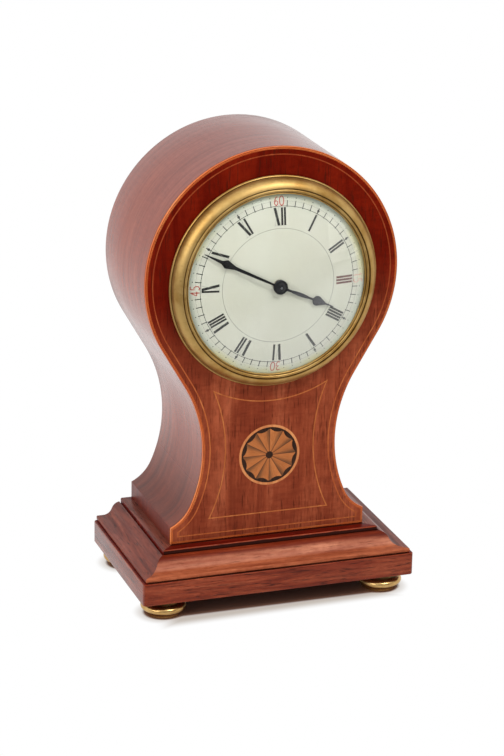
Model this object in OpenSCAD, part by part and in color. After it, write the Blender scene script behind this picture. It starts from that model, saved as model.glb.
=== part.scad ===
// Balloon timepiece: mahogany case with boxwood inlay on a moulded plinth, brass bun feet,
// convex enamel dial under domed glass, and an eight-day movement wound and set from the rear.
// Millimetres. Z is up, the dial faces -Y, and the origin is on the floor under the plinth's middle.

/* [Feet] */
// Height of each bun foot
foot_h = 9.5; // [8:0.5:12]
// Largest radius of each bun foot
foot_r = 12; // [10:0.5:14]
// Slab left beyond a foot at each end
foot_margin_x = 2.5; // [1:0.5:8]
// Slab left beyond a foot at front and back
foot_margin_y = 0.3; // [0.1:0.1:6]
// Flat left above and below the roll of a foot
foot_lip = 0.15; // [0.1:0.05:0.5]
// Radius of the stud that screws into the slab
foot_stud_r = 2; // [1.5:0.25:3]
// Length of that stud above the foot
foot_stud_l = 9; // [6:0.5:11]

/* [Plinth] */
// Width of the slab
plinth_w = 150; // [140:1:170]
// Depth of the slab
plinth_d = 93.4; // [90:0.1:110]
// Height of the slab
slab_h = 12.3; // [11.5:0.1:16]
// Radius of the slab's upright corners
slab_corner_r = 2; // [1:0.25:4]
// Set-back of the moulding from the slab's face
moulding_set = 1.7; // [1:0.1:3]
// Height of the moulding's lower fillet
moulding_fillet = 2.2; // [1.5:0.1:3]
// Flat between the fillet and the ogee
moulding_flat = 3.7; // [2.5:0.1:5]
// Run of the ogee
ogee_w = 9.8; // [8.5:0.1:11]
// Rise of the ogee
ogee_h = 7; // [6:0.1:8]
// Height of the step above the ogee
step_h = 2.2; // [1.5:0.1:3]
// Rounding of the step's upper edge
step_r = 0.9; // [0.5:0.1:1.4]

/* [Case] */
// Half the width at the case's foot
case_half_w = 53.8; // [50:0.1:58]
// Depth of the case, flush with the slab at the back
case_d = 71.7; // [68:0.1:76]
// Radius of the round head
head_r = 68.5; // [66:0.1:74]
// Half the width at the waist
waist_half = 36.7; // [33:0.1:40]
// Radius of the waist's hollow
waist_r = 72.5; // [68:0.1:78]
// Height of the narrowest point above the plinth
waist_up = 49.4; // [47:0.1:55]
// Length of the straight flank between waist and head
flank_l = 24; // [20:0.5:28]
// Radius of the tighter curve at the toe
toe_r = 22; // [19:0.5:25]
// Angle below level at which the toe's curve takes over
toe_angle = 24; // [21:0.5:27]
// Thickness of the bent side band
wall = 7; // [5.5:0.1:8]
// Thickness of the front board
front_t = 8; // [7:0.1:10]
// Thickness of the back board
back_t = 5; // [4:0.1:6]
// Set-back of the back board from the rear edge
back_inset = 5; // [4.8:0.1:6]
// Thickness of the case floor
floor_t = 8; // [7:0.1:10]
// Sideways place of the case screws
case_screw_x = 30; // [24:0.5:36]
// Half the distance between front and back case screws
case_screw_y = 18; // [14:0.5:22]
// Shank radius of the case screws
case_screw_r = 1.8; // [1.5:0.1:2.2]
// Head radius of the case screws
case_screw_head_r = 3.2; // [2.8:0.1:4]
// Head height of the case screws
case_screw_head_h = 2; // [1.5:0.1:3]
// Depth of the case screws in the case floor
case_screw_grip = 6; // [4:0.1:6.5]

/* [Inlay] */
// Width and depth of the stringing on the front edge
edge_string = 1.4; // [1.2:0.1:2.2]
// Distance of the inner line from the edge
string_in = 3.7; // [3:0.1:5]
// Width of the inner line and of the panel line
string_w = 0.6; // [0.5:0.05:1]
// Depth of the lines and of the patera
inlay_t = 1.2; // [0.8:0.1:2]
// Distance of the panel line from the edge
panel_in = 12.1; // [10:0.1:14]
// Radius of the panel's upper edge about the dial
panel_arc_r = 64.6; // [62:0.1:68]
// Radius of the patera
patera_r = 16.7; // [14:0.1:17.5]
// Height of the patera's centre above the plinth
patera_up = 44.5; // [42:0.1:47]
// Width of the patera's ring
patera_ring_w = 1.3; // [1:0.1:2]
// Petals in the patera
petal_count = 12; // [8:1:16]
// Radius of the petals' points
petal_r = 14.4; // [12:0.1:15]
// Depth of the scallop between two points
scallop_in = 1.3; // [0.8:0.1:2]
// Radius of each scallop
scallop_r = 6; // [4:0.1:8]
// Radius of the patera's eye
eye_r = 2; // [1.4:0.1:2.6]

/* [Dial] */
// Drop of the dial's centre below the head's
dial_drop = 2.2; // [0:0.1:4]
// Radius of the sight
sight_r = 47.7; // [44:0.1:50]
// Width of the bezel outside the sight
bezel_w = 8.5; // [8.2:0.1:9.5]
// Radius of the bead at the bezel's rim
bezel_bead_r = 0.9; // [0.6:0.05:1.2]
// Radius of the bezel's rounded ring
bezel_roll_r = 4.2; // [3.8:0.1:4.6]
// Rise of the bezel's crest above its lip
crest_up = 0.4; // [0.2:0.1:0.8]
// Distance of the sleeve's outside from the sight
sleeve_out = 3.5; // [3.3:0.1:4]
// Wall of the bezel's sleeve round the dial
sleeve_wall = 1.4; // [1:0.1:1.8]
// Clearance of the sleeve in the front board
sleeve_clear = 0.15; // [0.1:0.05:0.4]
// Clearance of the dial in the sleeve
dial_clear = 0.15; // [0.1:0.05:0.3]
// Reach of the sleeve and of the dial's edge into the front board
sleeve_l = 1.4; // [1.2:0.1:2]
// Thickness of the enamel dial
dial_t = 1.4; // [1:0.1:1.6]
// Height of the dial's middle in front of the board
dial_h = 9.5; // [9.2:0.1:9.7]
// Radius of the dial's dome
dial_dome_r = 240; // [232:1:250]
// Wall of the dial's turned-back edge
dial_skirt = 1.4; // [1:0.1:2]
// Hole in the dial for the hands
dial_hole_r = 3.4; // [3.2:0.1:3.8]
// Height of the glass's seat above the dial's edge
glass_up = 1.25; // [1.1:0.05:1.4]
// Thickness of the ledge under the glass
ledge_t = 0.6; // [0.5:0.05:0.7]
// Thickness of the domed glass
glass_t = 1.1; // [1:0.05:1.3]
// Thickness of the glass at its rim
glass_rim_t = 0.9; // [0.7:0.1:1.1]
// Rise of the domed glass above its rim
glass_rise = 11; // [10.5:0.1:12]
// Depth of the bezel's groove for the glass
glass_seat = 1.3; // [1:0.1:1.6]
// Width of the bezel's lip over the glass
lip_w = 1.7; // [1.5:0.1:1.9]
// Thickness of that lip
lip_t = 0.7; // [0.5:0.1:0.9]

/* [Hands] */
// Gap between the minute hand's tip and the sight
minute_gap = 4.1; // [3.6:0.1:6]
// How much shorter the hour hand is
hour_short = 10.6; // [9.5:0.1:13]
// Direction of the hour hand, clockwise from twelve
hour_angle = 114.6; // [0:0.1:360]
// Direction of the minute hand, clockwise from twelve
minute_angle = 295.9; // [0:0.1:360]
// Radius of each hand's boss
boss_r = 3.7; // [3:0.1:4.2]
// Thickness of each hand
hand_t = 0.4; // [0.3:0.05:0.6]
// Height of the hour hand above the dial
hour_up = 1; // [0.9:0.05:1.1]
// Gap between the hands
hand_gap = 0.65; // [0.6:0.05:0.75]
// Radius of the hour hand's bend over the domed dial
hour_bend_r = 200; // [196:1:206]
// Radius of the minute hand's bend over the domed dial
minute_bend_r = 180; // [176:1:183]
// Radius of the domed collet
collet_r = 2.5; // [2.2:0.1:3]
// Height of the domed collet
collet_h = 0.9; // [0.7:0.05:1]

/* [Movement frame] */
// Radius of the movement's plates
plate_r = 39; // [38.5:0.1:42]
// Thickness of the dial plate
dial_plate_t = 1.2; // [1:0.1:1.6]
// Space between dial plate and front plate
under_dial = 9; // [8.6:0.1:10]
// Thickness of the front plate
front_plate_t = 1.8; // [1.5:0.1:2.4]
// Space between the plates
plate_gap = 22; // [21.5:0.1:24]
// Thickness of the back plate
back_plate_t = 2; // [1.7:0.1:2.4]
// Distance of the pillars from the centre
pillar_at_r = 34; // [33.5:0.1:35.5]
// Radius of the pillars and dial posts
pillar_r = 2.2; // [1.8:0.1:2.5]
// Head radius of the movement's screws
screw_head_r = 1.7; // [1.4:0.1:2]
// Head height of the movement's screws
screw_head_h = 1.1; // [0.8:0.1:1.4]
// Shank radius of the movement's screws
screw_r = 0.9; // [0.7:0.05:1.1]
// Shank length of the movement's screws
screw_l = 3.4; // [3:0.1:3.6]
// Width of the slot in a screw's head
screw_slot_w = 0.5; // [0.3:0.05:0.7]
// Radius of the train's arbors
arbor_r = 0.9; // [0.8:0.05:1]
// Radius of the train's pivots
pivot_r = 0.6; // [0.5:0.05:0.7]
// Radial clearance of a pivot in its hole
pivot_clear = 0.04; // [0.03:0.005:0.06]
// End shake of an arbor between the plates
shake = 0.3; // [0.2:0.05:0.4]

/* [Power] */
// Teeth on the barrel
barrel_teeth = 80; // [76:1:84]
// Leaves on the centre pinion
centre_leaves = 10; // [10:1:12]
// Module of the barrel's teeth
barrel_module = 0.425; // [0.41:0.005:0.44]
// Height of the barrel
barrel_h = 15; // [13:0.1:15.2]
// Thickness of the barrel's toothed floor
barrel_floor_t = 2.2; // [1.8:0.1:2.6]
// Outer radius of the barrel's drum
drum_r = 15.9; // [15:0.1:16]
// Thickness of the drum's wall and of its cap
drum_wall = 1.2; // [1:0.05:1.4]
// Gap between the front plate and the barrel
barrel_lift = 0.8; // [0.5:0.1:1]
// Radius of the winding arbor
wind_r = 2; // [1.8:0.05:2.2]
// Radius of the winding arbor's core in the barrel
core_r = 4.6; // [4:0.1:5]
// Width of the winding square
wind_square = 2.6; // [2.4:0.05:2.8]
// Length of the winding square behind the back plate
wind_l = 13; // [11:0.5:16]
// Turns of the mainspring
spring_turns = 8; // [6:1:9]
// Thickness of the mainspring
spring_t = 0.45; // [0.35:0.05:0.5]
// Teeth on the ratchet wheel
ratchet_teeth = 24; // [24:12:36]
// Radius of the ratchet wheel
ratchet_r = 6.5; // [6:0.1:7]
// Depth of the ratchet's teeth
ratchet_tooth = 0.9; // [0.7:0.05:1]
// Thickness of the ratchet wheel, its click and the click's spring
ratchet_t = 1.4; // [1.2:0.1:1.7]
// Distance of the click's pivot from the winding arbor
click_d = 10.5; // [10.2:0.1:11.5]
// Gap between the click's nose and the ratchet's teeth
click_gap = 0.35; // [0.3:0.05:0.5]

/* [Train] */
// Teeth on the centre wheel
centre_teeth = 72; // [70:1:74]
// Leaves on the third pinion
third_leaves = 8; // [8:1:9]
// Module of the centre wheel's teeth
centre_module = 0.36; // [0.35:0.005:0.37]
// Teeth on the third wheel
third_teeth = 64; // [62:1:66]
// Leaves on the fourth pinion
fourth_leaves = 8; // [8:1:9]
// Module of the third wheel's teeth
third_module = 0.34; // [0.33:0.005:0.35]
// Teeth on the fourth wheel
fourth_teeth = 75; // [72:1:76]
// Leaves on the escape pinion
escape_leaves = 9; // [8:1:9]
// Module of the fourth wheel's teeth
fourth_module = 0.26; // [0.255:0.005:0.27]
// Thickness of the train's wheels
wheel_t = 1.1; // [0.9:0.05:1.3]
// Reach of a pinion beyond its wheel on each side
pinion_over = 0.6; // [0.4:0.05:0.7]
// Gap between the barrel and the centre wheel
centre_gap = 1.5; // [1.3:0.1:1.8]
// Gap between the centre wheel and the third wheel
third_gap = 3.4; // [3:0.1:3.8]
// Gap between the fourth wheel and the back plate
fourth_gap = 1.3; // [1.1:0.1:1.5]
// Width of a wheel's rim inside its teeth
rim_w = 1.1; // [0.9:0.1:1.4]
// Width of a wheel's spokes
spoke_w = 1; // [0.8:0.1:1.3]
// Radius of a wheel's hub
hub_r = 2.4; // [2.2:0.1:2.6]

/* [Motion work] */
// Leaves on the cannon pinion
cannon_leaves = 12; // [12:1:14]
// Teeth on the minute wheel
minute_teeth = 36; // [35:1:37]
// Module of the cannon pinion and minute wheel
cannon_module = 0.5; // [0.49:0.005:0.51]
// Leaves on the minute pinion
minute_leaves = 10; // [10:1:11]
// Teeth on the hour wheel
hour_teeth = 40; // [39:1:41]
// Radius of the centre arbor
centre_r = 1; // [0.9:0.02:1.06]
// Outer radius of the cannon pinion's pipe
cannon_r = 1.75; // [1.6:0.05:1.8]
// Running clearance between the two pipes
pipe_clear = 0.08; // [0.05:0.01:0.1]
// Outer radius of the hour wheel's pipe
hour_pipe_r = 2.6; // [2.45:0.05:2.8]
// Height of the cannon pinion's leaves
cannon_t = 1.8; // [1.6:0.1:2]
// Gap between the front plate and the cannon pinion
cannon_gap = 0.5; // [0.4:0.05:0.6]
// Height of the minute pinion
minute_pinion_h = 3.9; // [3.6:0.1:4]
// Radius of the stud that carries the minute wheel
minute_stud_r = 0.8; // [0.7:0.05:0.9]
// Radius of the setting knob
knob_r = 5; // [4:0.25:6]
// Thickness of the setting knob
knob_t = 3; // [2.5:0.25:4]
// Distance of the setting knob behind the back plate
knob_out = 10.5; // [10:0.25:11.5]

/* [Escapement] */
// Thickness of the platform
platform_t = 1.5; // [1.3:0.05:1.8]
// Margin of the platform round its pieces
platform_edge = 3; // [2.5:0.1:3.5]
// Teeth on the escape wheel
escape_teeth = 15; // [15:1:15]
// Radius of the escape wheel
escape_r = 4; // [3.8:0.05:4.1]
// Thickness of the escape wheel and lever
escape_t = 0.6; // [0.5:0.05:0.7]
// Gap between platform and escape wheel
escape_up = 1.1; // [0.9:0.05:1.2]
// Gap between tooth points and pallets
pallet_gap = 0.38; // [0.34:0.02:0.5]
// Distance from escape wheel to lever
lever_d = 5.3; // [5.1:0.05:5.6]
// Distance from lever to balance
balance_d = 6.8; // [6.5:0.05:7.2]
// Radius of the thin arbors on the platform
staff_r = 0.45; // [0.4:0.02:0.5]
// Gap between the lever and the cock above it
cock_gap = 0.6; // [0.5:0.05:0.8]
// Thickness of the escape cock
escape_cock_t = 0.8; // [0.7:0.05:0.9]
// Radius of the balance
balance_r = 6; // [5.6:0.1:6.2]
// Width of the balance's rim
balance_rim = 0.8; // [0.6:0.05:1]
// Thickness of the balance
balance_t = 1.1; // [0.9:0.05:1.2]
// Gap between the escape cock and the balance
balance_gap = 0.4; // [0.3:0.05:0.5]
// Radius of the roller on the balance staff
roller_r = 2; // [1.8:0.05:2.2]
// Turns of the hairspring
hair_turns = 5; // [4:1:6]
// Outer radius of the hairspring
hair_r = 3.8; // [3.5:0.1:4.2]
// Thickness of the hairspring
hair_t = 0.14; // [0.1:0.02:0.18]
// Height of the hairspring's ribbon
hair_h = 0.5; // [0.4:0.05:0.6]
// Gap above and below the hairspring
hair_gap = 0.7; // [0.6:0.05:0.8]
// Thickness of the balance cock
balance_cock_t = 1.6; // [1.4:0.1:1.8]
// Radius of the boss that the regulator turns on
index_boss_r = 1.4; // [1.2:0.05:1.5]
// Thickness of the regulator
index_t = 0.6; // [0.5:0.05:0.7]
// Length of the regulator's pointer
index_l = 8.6; // [8:0.1:9.5]

/* [Rear] */
// Radius of the opening in the rear ring
rear_open_r = 40; // [39:0.1:40.5]
// Wall of the rear ring's sleeve
rear_sleeve = 1.5; // [1.2:0.1:1.8]
// Outer radius of the rear ring's flange
rear_flange_r = 47; // [46.6:0.1:48]
// Thickness of that flange
rear_flange_t = 1.3; // [1:0.05:1.3]
// Radius of the rear door
door_r = 41.8; // [41.6:0.1:42]
// Thickness of the rear door
door_t = 1; // [0.8:0.05:1.1]
// Gap behind the closed door
door_gap = 0.12; // [0.1:0.01:0.2]
// Radius of the hinge's knuckles
knuckle_r = 1.5; // [1.3:0.05:1.6]
// Radius of the hinge's pin
hinge_pin_r = 0.7; // [0.6:0.02:0.8]
// Running clearance of the door's knuckle on its pin
hinge_clear = 0.05; // [0.03:0.01:0.08]
// Half the length of the door's knuckle
knuckle_half = 4; // [3:0.25:5]
// Length of each of the ring's knuckles
knuckle_l = 4; // [3:0.25:5]
// Gap between knuckles
knuckle_gap = 0.2; // [0.1:0.05:0.3]
// Radius of the door's pull
pull_r = 1.8; // [1.4:0.1:2.2]
// Height of the door's pull
pull_h = 2.2; // [1.6:0.1:2.3]
// Distance of the straps in from the dial plate's edge
strap_in = 3.8; // [3:0.1:4.2]
// Thickness of the straps
strap_t = 1; // [0.8:0.05:1.2]
// Width of the straps
strap_w = 6; // [5:0.1:8]
// Distance of the strap screws from the centre
strap_screw_at = 44.4; // [44.2:0.1:44.6]
// Shank radius of the strap screws
strap_screw_r = 0.9; // [0.7:0.05:1]
// Head radius of the strap screws
strap_screw_head_r = 1.6; // [1.4:0.05:1.8]

/* [Hidden] */
$fn = 96;
cut = 1;
back_y = plinth_d / 2;
face_y = back_y - case_d;
slab_top_z = foot_h + slab_h;
plinth_z = slab_top_z + moulding_fillet + ogee_h + step_h;
moulding_run = moulding_set + moulding_flat + ogee_w;
ogee_turn = 2 * atan(ogee_h / ogee_w);
ogee_r = ogee_w / (2 * sin(ogee_turn));
foot_x = plinth_w / 2 - foot_margin_x - foot_r;
foot_y = plinth_d / 2 - foot_margin_y - foot_r;
case_mid_y = (face_y + back_y) / 2;

// Outline of the case: round head, straight flank, hollow waist and tighter toe, each running
// into the next with an overlap of blend, so that they meet at a clean crossing
waist_at = [waist_half + waist_r, plinth_z + waist_up];
centres_d = norm([head_r + waist_r, flank_l]);
head_at = [0, waist_at[1] + sqrt(centres_d * centres_d - waist_at[0] * waist_at[0])];
lean_angle = atan2(waist_at[1] - head_at[1], waist_at[0]) + acos((head_r + waist_r) / centres_d);
lean = [cos(lean_angle), sin(lean_angle)];
toe_dir = [-cos(toe_angle), -sin(toe_angle)];
blend = 0.02;
toe_at = waist_at + (waist_r - toe_r + blend) * toe_dir;
far = 4 * waist_r;

dial_z = head_at[1] - dial_drop;
patera_z = plinth_z + patera_up;
bezel_r = sight_r + bezel_w;
sleeve_r = sight_r + sleeve_out;
front_hole_r = sleeve_r + sleeve_clear;
dial_r = sleeve_r - sleeve_wall - dial_clear;
glass_r = sight_r + glass_seat;
dial_edge_h = dial_h - dial_dome_r + sqrt(dial_dome_r * dial_dome_r - dial_r * dial_r);
dial_front_y = face_y - dial_h;
glass_h = dial_edge_h + glass_up;
glass_top = glass_h + glass_rim_t;
bezel_h = glass_top + lip_t + crest_up;
minute_l = sight_r - minute_gap;
hour_l = minute_l - hour_short;
strap_at = sleeve_r - strap_in;
overlap = 0.1;

// Depths, from the dial to the rear of the back plate
dial_back_y = face_y + sleeve_l;
dial_plate_y = dial_back_y + dial_plate_t;
front_plate_y = dial_plate_y + under_dial;
inner_y = front_plate_y + front_plate_t;
rear_inner_y = inner_y + plate_gap;
movement_y = rear_inner_y + back_plate_t;

// Proportions of teeth: half widths in pitches, heights in modules
wheel_root = 0.27;
wheel_tip = 0.10;
leaf_root = 0.20;
leaf_tip = 0.08;
tooth_out = 0.85;
leaf_out = 0.65;
tooth_in = 1.3;
spiral_step = 15;

// Places of the arbors, seen from the front, from the dial's centre
barrel_dir = 270;
third_dir = 30;
fourth_dir = 120;
escape_dir = 180;
minute_dir = 150;
barrel_at = polar((barrel_teeth + centre_leaves) * barrel_module / 2, barrel_dir);
third_at = polar((centre_teeth + third_leaves) * centre_module / 2, third_dir);
fourth_at = third_at + polar((third_teeth + fourth_leaves) * third_module / 2, fourth_dir);
escape_at = fourth_at + polar((fourth_teeth + escape_leaves) * fourth_module / 2, escape_dir);
lever_at = escape_at + polar(lever_d, escape_dir);
balance_at = lever_at + polar(balance_d, escape_dir);
minute_d = (cannon_leaves + minute_teeth) * cannon_module / 2;
minute_at = polar(minute_d, minute_dir);
minute_module = 2 * minute_d / (minute_leaves + hour_teeth);
pillar_angles = [20, 160, 235, 305];
pillar_at = [for (a = pillar_angles) polar(pillar_at_r, a)];

// Depths of the train's wheels
barrel_y = inner_y + barrel_lift;
centre_wheel_y = barrel_y + barrel_h + centre_gap;
third_wheel_y = centre_wheel_y - third_gap - wheel_t;
fourth_wheel_y = rear_inner_y - fourth_gap - wheel_t;
cannon_y = front_plate_y - cannon_gap - cannon_t;
minute_wheel_y = cannon_y + (cannon_t - wheel_t) / 2;
hour_wheel_y = minute_wheel_y - minute_pinion_h + (minute_pinion_h - wheel_t) / 2;
hour_hand_y = dial_front_y - hour_up - hand_t;
minute_hand_y = hour_hand_y - hand_gap - hand_t;

// Depths on the platform
platform_y = movement_y + platform_t;
escape_y = platform_y + escape_up;
escape_cock_y = escape_y + escape_t + cock_gap;
balance_y = escape_cock_y + escape_cock_t + balance_gap;
hair_y = balance_y + balance_t + hair_gap;
balance_cock_y = hair_y + hair_h + hair_gap;
index_y = balance_cock_y + balance_cock_t;
roller_t = 0.4;
roller_gap = 0.15;
roller_y = escape_y + escape_t + roller_gap;
cock_foot_w = 7;
cock_foot_t = 2.6;
foot_clear = 0.7;
cock_foot_up = balance_r + foot_clear;
escape_foot_w = 3;
escape_tooth = 0.9;
escape_rim = 0.6;
escape_foot_out = escape_r + foot_clear;
platform_lip = 0.4;
hair_hub_r = 2.2 * staff_r;
platform_left = balance_at[0] - balance_r - platform_edge;
platform_right = escape_at[0] + escape_foot_out + escape_foot_w + platform_edge / 2;
platform_low = balance_at[1] - balance_r - platform_edge;
platform_high = balance_at[1] + cock_foot_up + cock_foot_t + platform_lip;
platform_screws = [[platform_left + platform_edge, platform_low + platform_edge],
                   [platform_left + platform_edge, platform_high - platform_edge],
                   [platform_right - platform_edge, platform_low + platform_edge]];

// Ratchet and click
ratchet_y = movement_y + shake;
click_dir = 20;
click_nose_dir = -25;
click_at = barrel_at + polar(click_d, click_dir);
click_r = 1.6;
click_pin_r = 0.7;
click_heel = [1.3, -0.4];
click_spring_w = 0.5;
click_spring_foot_r = 1.5;
click_spring_root = [click_r + 4.4, -9.5];
click_spring_tip = [click_r + 0.4, -1];

// Rear ring, door and straps
back_board_y = back_y - back_inset - back_t;
flange_y = back_y - back_inset;
door_y = flange_y + rear_flange_t + door_gap;
hinge_out = 0.3;
hinge_x = -(rear_flange_r + knuckle_r + hinge_out);
hinge_y = door_y + door_t;

mahogany = "#8a3f2b";
mahogany_dark = "#6b2c1e";
boxwood = "#d09a5a";
shaded_wood = "#8c5a30";
ebony = "#2a1a12";
brass = "#c9a255";
steel = "#9aa0a6";
blued = "#20222a";
enamel = "#eef0e6";

function polar(r, a) = r * [cos(a), sin(a)];

// Turn of wheel B that puts it in mesh with A, when A's first tooth is at a and B lies at angle dir
function in_mesh(dir, a, teeth_a, teeth_b) = dir + 180 + 180 / teeth_b + (dir - a) * teeth_a / teeth_b;

function tooth_points(n, m, a, out, root, tip) = [
    for (i = [0 : n - 1])
        for (c = [[-root, -tooth_in], [-tip, out], [tip, out], [root, -tooth_in]])
            polar(m * (n / 2 + c[1]), a + (i + c[0]) * 360 / n)
];

// Ribbon of thickness t that winds from radius r0 to r1
function spiral_points(r0, r1, turns, t) = let (steps = turns * 360 / spiral_step) concat(
    [for (i = [0 : steps]) polar(r0 + (r1 - r0) * i / steps + t / 2, i * spiral_step)],
    [for (i = [steps : -1 : 0]) polar(r0 + (r1 - r0) * i / steps - t / 2, i * spiral_step)]
);

// A flat shape drawn in X and Z, given thickness t from depth y towards the rear
module slice(y, t) {
    translate([0, y + t, 0])
        rotate([90, 0, 0])
            linear_extrude(t)
                children();
}

// A profile of radius and forward height, turned about the depth axis
module turned(y) {
    translate([0, y, 0])
        rotate([90, 0, 0])
            rotate_extrude()
                children();
}

module rod(r, y, l) {
    translate([0, y, 0])
        rotate([-90, 0, 0])
            cylinder(r = r, h = l);
}

module at_dial(p = [0, 0]) {
    translate([p[0], 0, dial_z + p[1]])
        children();
}

module ring2d(outer, inner) {
    difference() {
        circle(outer);
        circle(inner);
    }
}

module wheel_blank(n, m, a, spokes) {
    rim_r = m * (n / 2 - tooth_in) - rim_w;
    difference() {
        polygon(tooth_points(n, m, a, tooth_out, wheel_root, wheel_tip));
        circle(rim_r);
    }
    circle(hub_r);
    for (k = [0 : spokes - 1])
        rotate(a + k * 360 / spokes)
            translate([0, -spoke_w / 2])
                square([rim_r + rim_w / 2, spoke_w]);
}

module pinion_blank(n, m, a) {
    polygon(tooth_points(n, m, a, leaf_out, leaf_root, leaf_tip));
}

module train_arbor() {
    rod(arbor_r, inner_y + shake, plate_gap - 2 * shake);
    rod(pivot_r, front_plate_y, movement_y - front_plate_y);
}

module slotted_screw(y, head_r, head_h, r, l) {
    difference() {
        union() {
            rod(head_r, y, head_h);
            rod(r, y - l, l + head_h / 2);
        }
        translate([-head_r - cut, y + head_h / 2, -screw_slot_w / 2])
            cube([2 * (head_r + cut), head_h, screw_slot_w]);
    }
}

// Case outline drawn in by d, with its foot raised by lift
module outline(d, lift) {
    side = [[case_half_w - d, plinth_z + lift], [case_half_w - d, toe_at[1]],
            waist_at - (waist_r + d - blend) * lean, head_at + (head_r - d - blend) * lean];
    mirrored = [for (i = [len(side) - 1 : -1 : 0]) [-side[i][0], side[i][1]]];
    difference() {
        union() {
            translate(head_at)
                circle(head_r - d);
            polygon(concat(side, [head_at], mirrored));
        }
        waist_hollow(d);
        mirror([1, 0])
            waist_hollow(d);
    }
}

module waist_hollow(d) {
    toe_end = waist_at + far * toe_dir;
    difference() {
        translate(waist_at)
            circle(waist_r + d);
        polygon([waist_at, toe_end, toe_end - [0, far], waist_at - [0, far]]);
    }
    translate(toe_at)
        circle(toe_r + d);
}

module line2d(d, w) {
    difference() {
        outline(d, d);
        outline(d + w, d + w);
    }
}

module panel2d(d) {
    difference() {
        outline(panel_in + d, panel_in + d);
        translate([0, dial_z])
            circle(panel_arc_r + d);
    }
}

module panel_line2d() {
    difference() {
        panel2d(0);
        panel2d(string_w);
    }
}

module at_patera() {
    translate([0, 0, patera_z])
        children();
}

module fan2d() {
    difference() {
        circle(petal_r);
        for (k = [0 : petal_count - 1])
            translate(polar(petal_r - scallop_in + scallop_r, (k + 0.5) * 360 / petal_count))
                circle(scallop_r);
    }
}

// Half of each petal, from the share first of its width
module half_petals(first) {
    step = 360 / petal_count;
    reach = 2 * petal_r;
    difference() {
        intersection() {
            fan2d();
            for (k = [0 : petal_count - 1])
                polygon([[0, 0], polar(reach, (k + first) * step),
                         polar(reach, (k + first + 0.5) * step)]);
        }
        circle(eye_r);
    }
}

module front_board() {
    color(mahogany)
        difference() {
            slice(face_y, front_t)
                outline(0, 0);
            slice(face_y - cut, cut + edge_string)
                line2d(-cut, cut + edge_string);
            slice(face_y - cut, cut + inlay_t)
                line2d(string_in, string_w);
            slice(face_y - cut, cut + inlay_t)
                panel_line2d();
            at_patera()
                rod(patera_r, face_y - cut, cut + inlay_t);
            at_dial()
                rod(front_hole_r, face_y - cut, front_t + 2 * cut);
        }
}

module case_band() {
    color(mahogany)
        slice(face_y + front_t, case_d - front_t)
            difference() {
                outline(0, 0);
                outline(wall, -cut);
            }
}

module floor2d() {
    intersection() {
        outline(wall, 0);
        translate([-case_half_w, plinth_z])
            square([2 * case_half_w, floor_t]);
    }
}

module case_floor() {
    color(mahogany_dark)
        difference() {
            slice(face_y + front_t, case_d - front_t)
                floor2d();
            at_case_screws()
                translate([0, 0, plinth_z - cut])
                    cylinder(r = case_screw_r, h = cut + case_screw_grip);
        }
}

module back_board() {
    color(mahogany_dark)
        difference() {
            slice(back_board_y, back_t)
                difference() {
                    outline(wall, 0);
                    floor2d();
                    translate([0, dial_z])
                        circle(rear_open_r + rear_sleeve);
                }
            strap_places()
                rod(strap_screw_r, back_board_y - cut, back_t + 2 * cut);
        }
}

module edge_stringing() {
    color(boxwood)
        slice(face_y, edge_string)
            line2d(0, edge_string);
}

module inner_stringing() {
    color(boxwood)
        slice(face_y, inlay_t)
            line2d(string_in, string_w);
}

module panel_stringing() {
    color(boxwood)
        slice(face_y, inlay_t)
            panel_line2d();
}

module patera_ring() {
    color(boxwood)
        at_patera()
            slice(face_y, inlay_t)
                ring2d(patera_r, patera_r - patera_ring_w);
}

module patera_ground() {
    color(ebony)
        at_patera()
            slice(face_y, inlay_t)
                difference() {
                    circle(patera_r - patera_ring_w);
                    fan2d();
                }
}

module patera_petals() {
    color(boxwood)
        at_patera()
            slice(face_y, inlay_t)
                half_petals(0.5);
}

module patera_shading() {
    color(shaded_wood)
        at_patera()
            slice(face_y, inlay_t)
                half_petals(0);
}

module patera_eye() {
    color(ebony)
        at_patera()
            rod(eye_r, face_y, inlay_t);
}

module foot_places() {
    for (x = [-foot_x, foot_x])
        for (y = [-foot_y, foot_y])
            translate([x, y, 0])
                children();
}

module at_case_screws() {
    for (x = [-case_screw_x, case_screw_x])
        for (y = [-case_screw_y, case_screw_y])
            translate([x, case_mid_y + y, 0])
                children();
}

module plinth_slab() {
    inner = [plinth_w - 2 * slab_corner_r, plinth_d - 2 * slab_corner_r];
    color(mahogany)
        difference() {
            translate([0, 0, foot_h])
                linear_extrude(slab_h) {
                    square([plinth_w, inner[1]], center = true);
                    square([inner[0], plinth_d], center = true);
                    for (x = [-inner[0], inner[0]])
                        for (y = [-inner[1], inner[1]])
                            translate([x, y] / 2)
                                circle(slab_corner_r);
                }
            foot_places()
                translate([0, 0, foot_h - cut])
                    cylinder(r = foot_stud_r, h = cut + foot_stud_l);
            at_case_screws() {
                translate([0, 0, foot_h - cut])
                    cylinder(r = case_screw_r, h = slab_h + 2 * cut);
                translate([0, 0, foot_h - cut])
                    cylinder(r = case_screw_head_r, h = cut + case_screw_head_h);
            }
        }
}

// Step section, rounded at both edges
module step2d(near, far_edge) {
    translate([near, slab_top_z])
        square([far_edge - near, plinth_z - step_r - slab_top_z]);
    translate([near + step_r, slab_top_z])
        square([far_edge - near - 2 * step_r, plinth_z - slab_top_z]);
    for (x = [near + step_r, far_edge - step_r])
        translate([x, plinth_z - step_r])
            circle(step_r);
}

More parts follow.
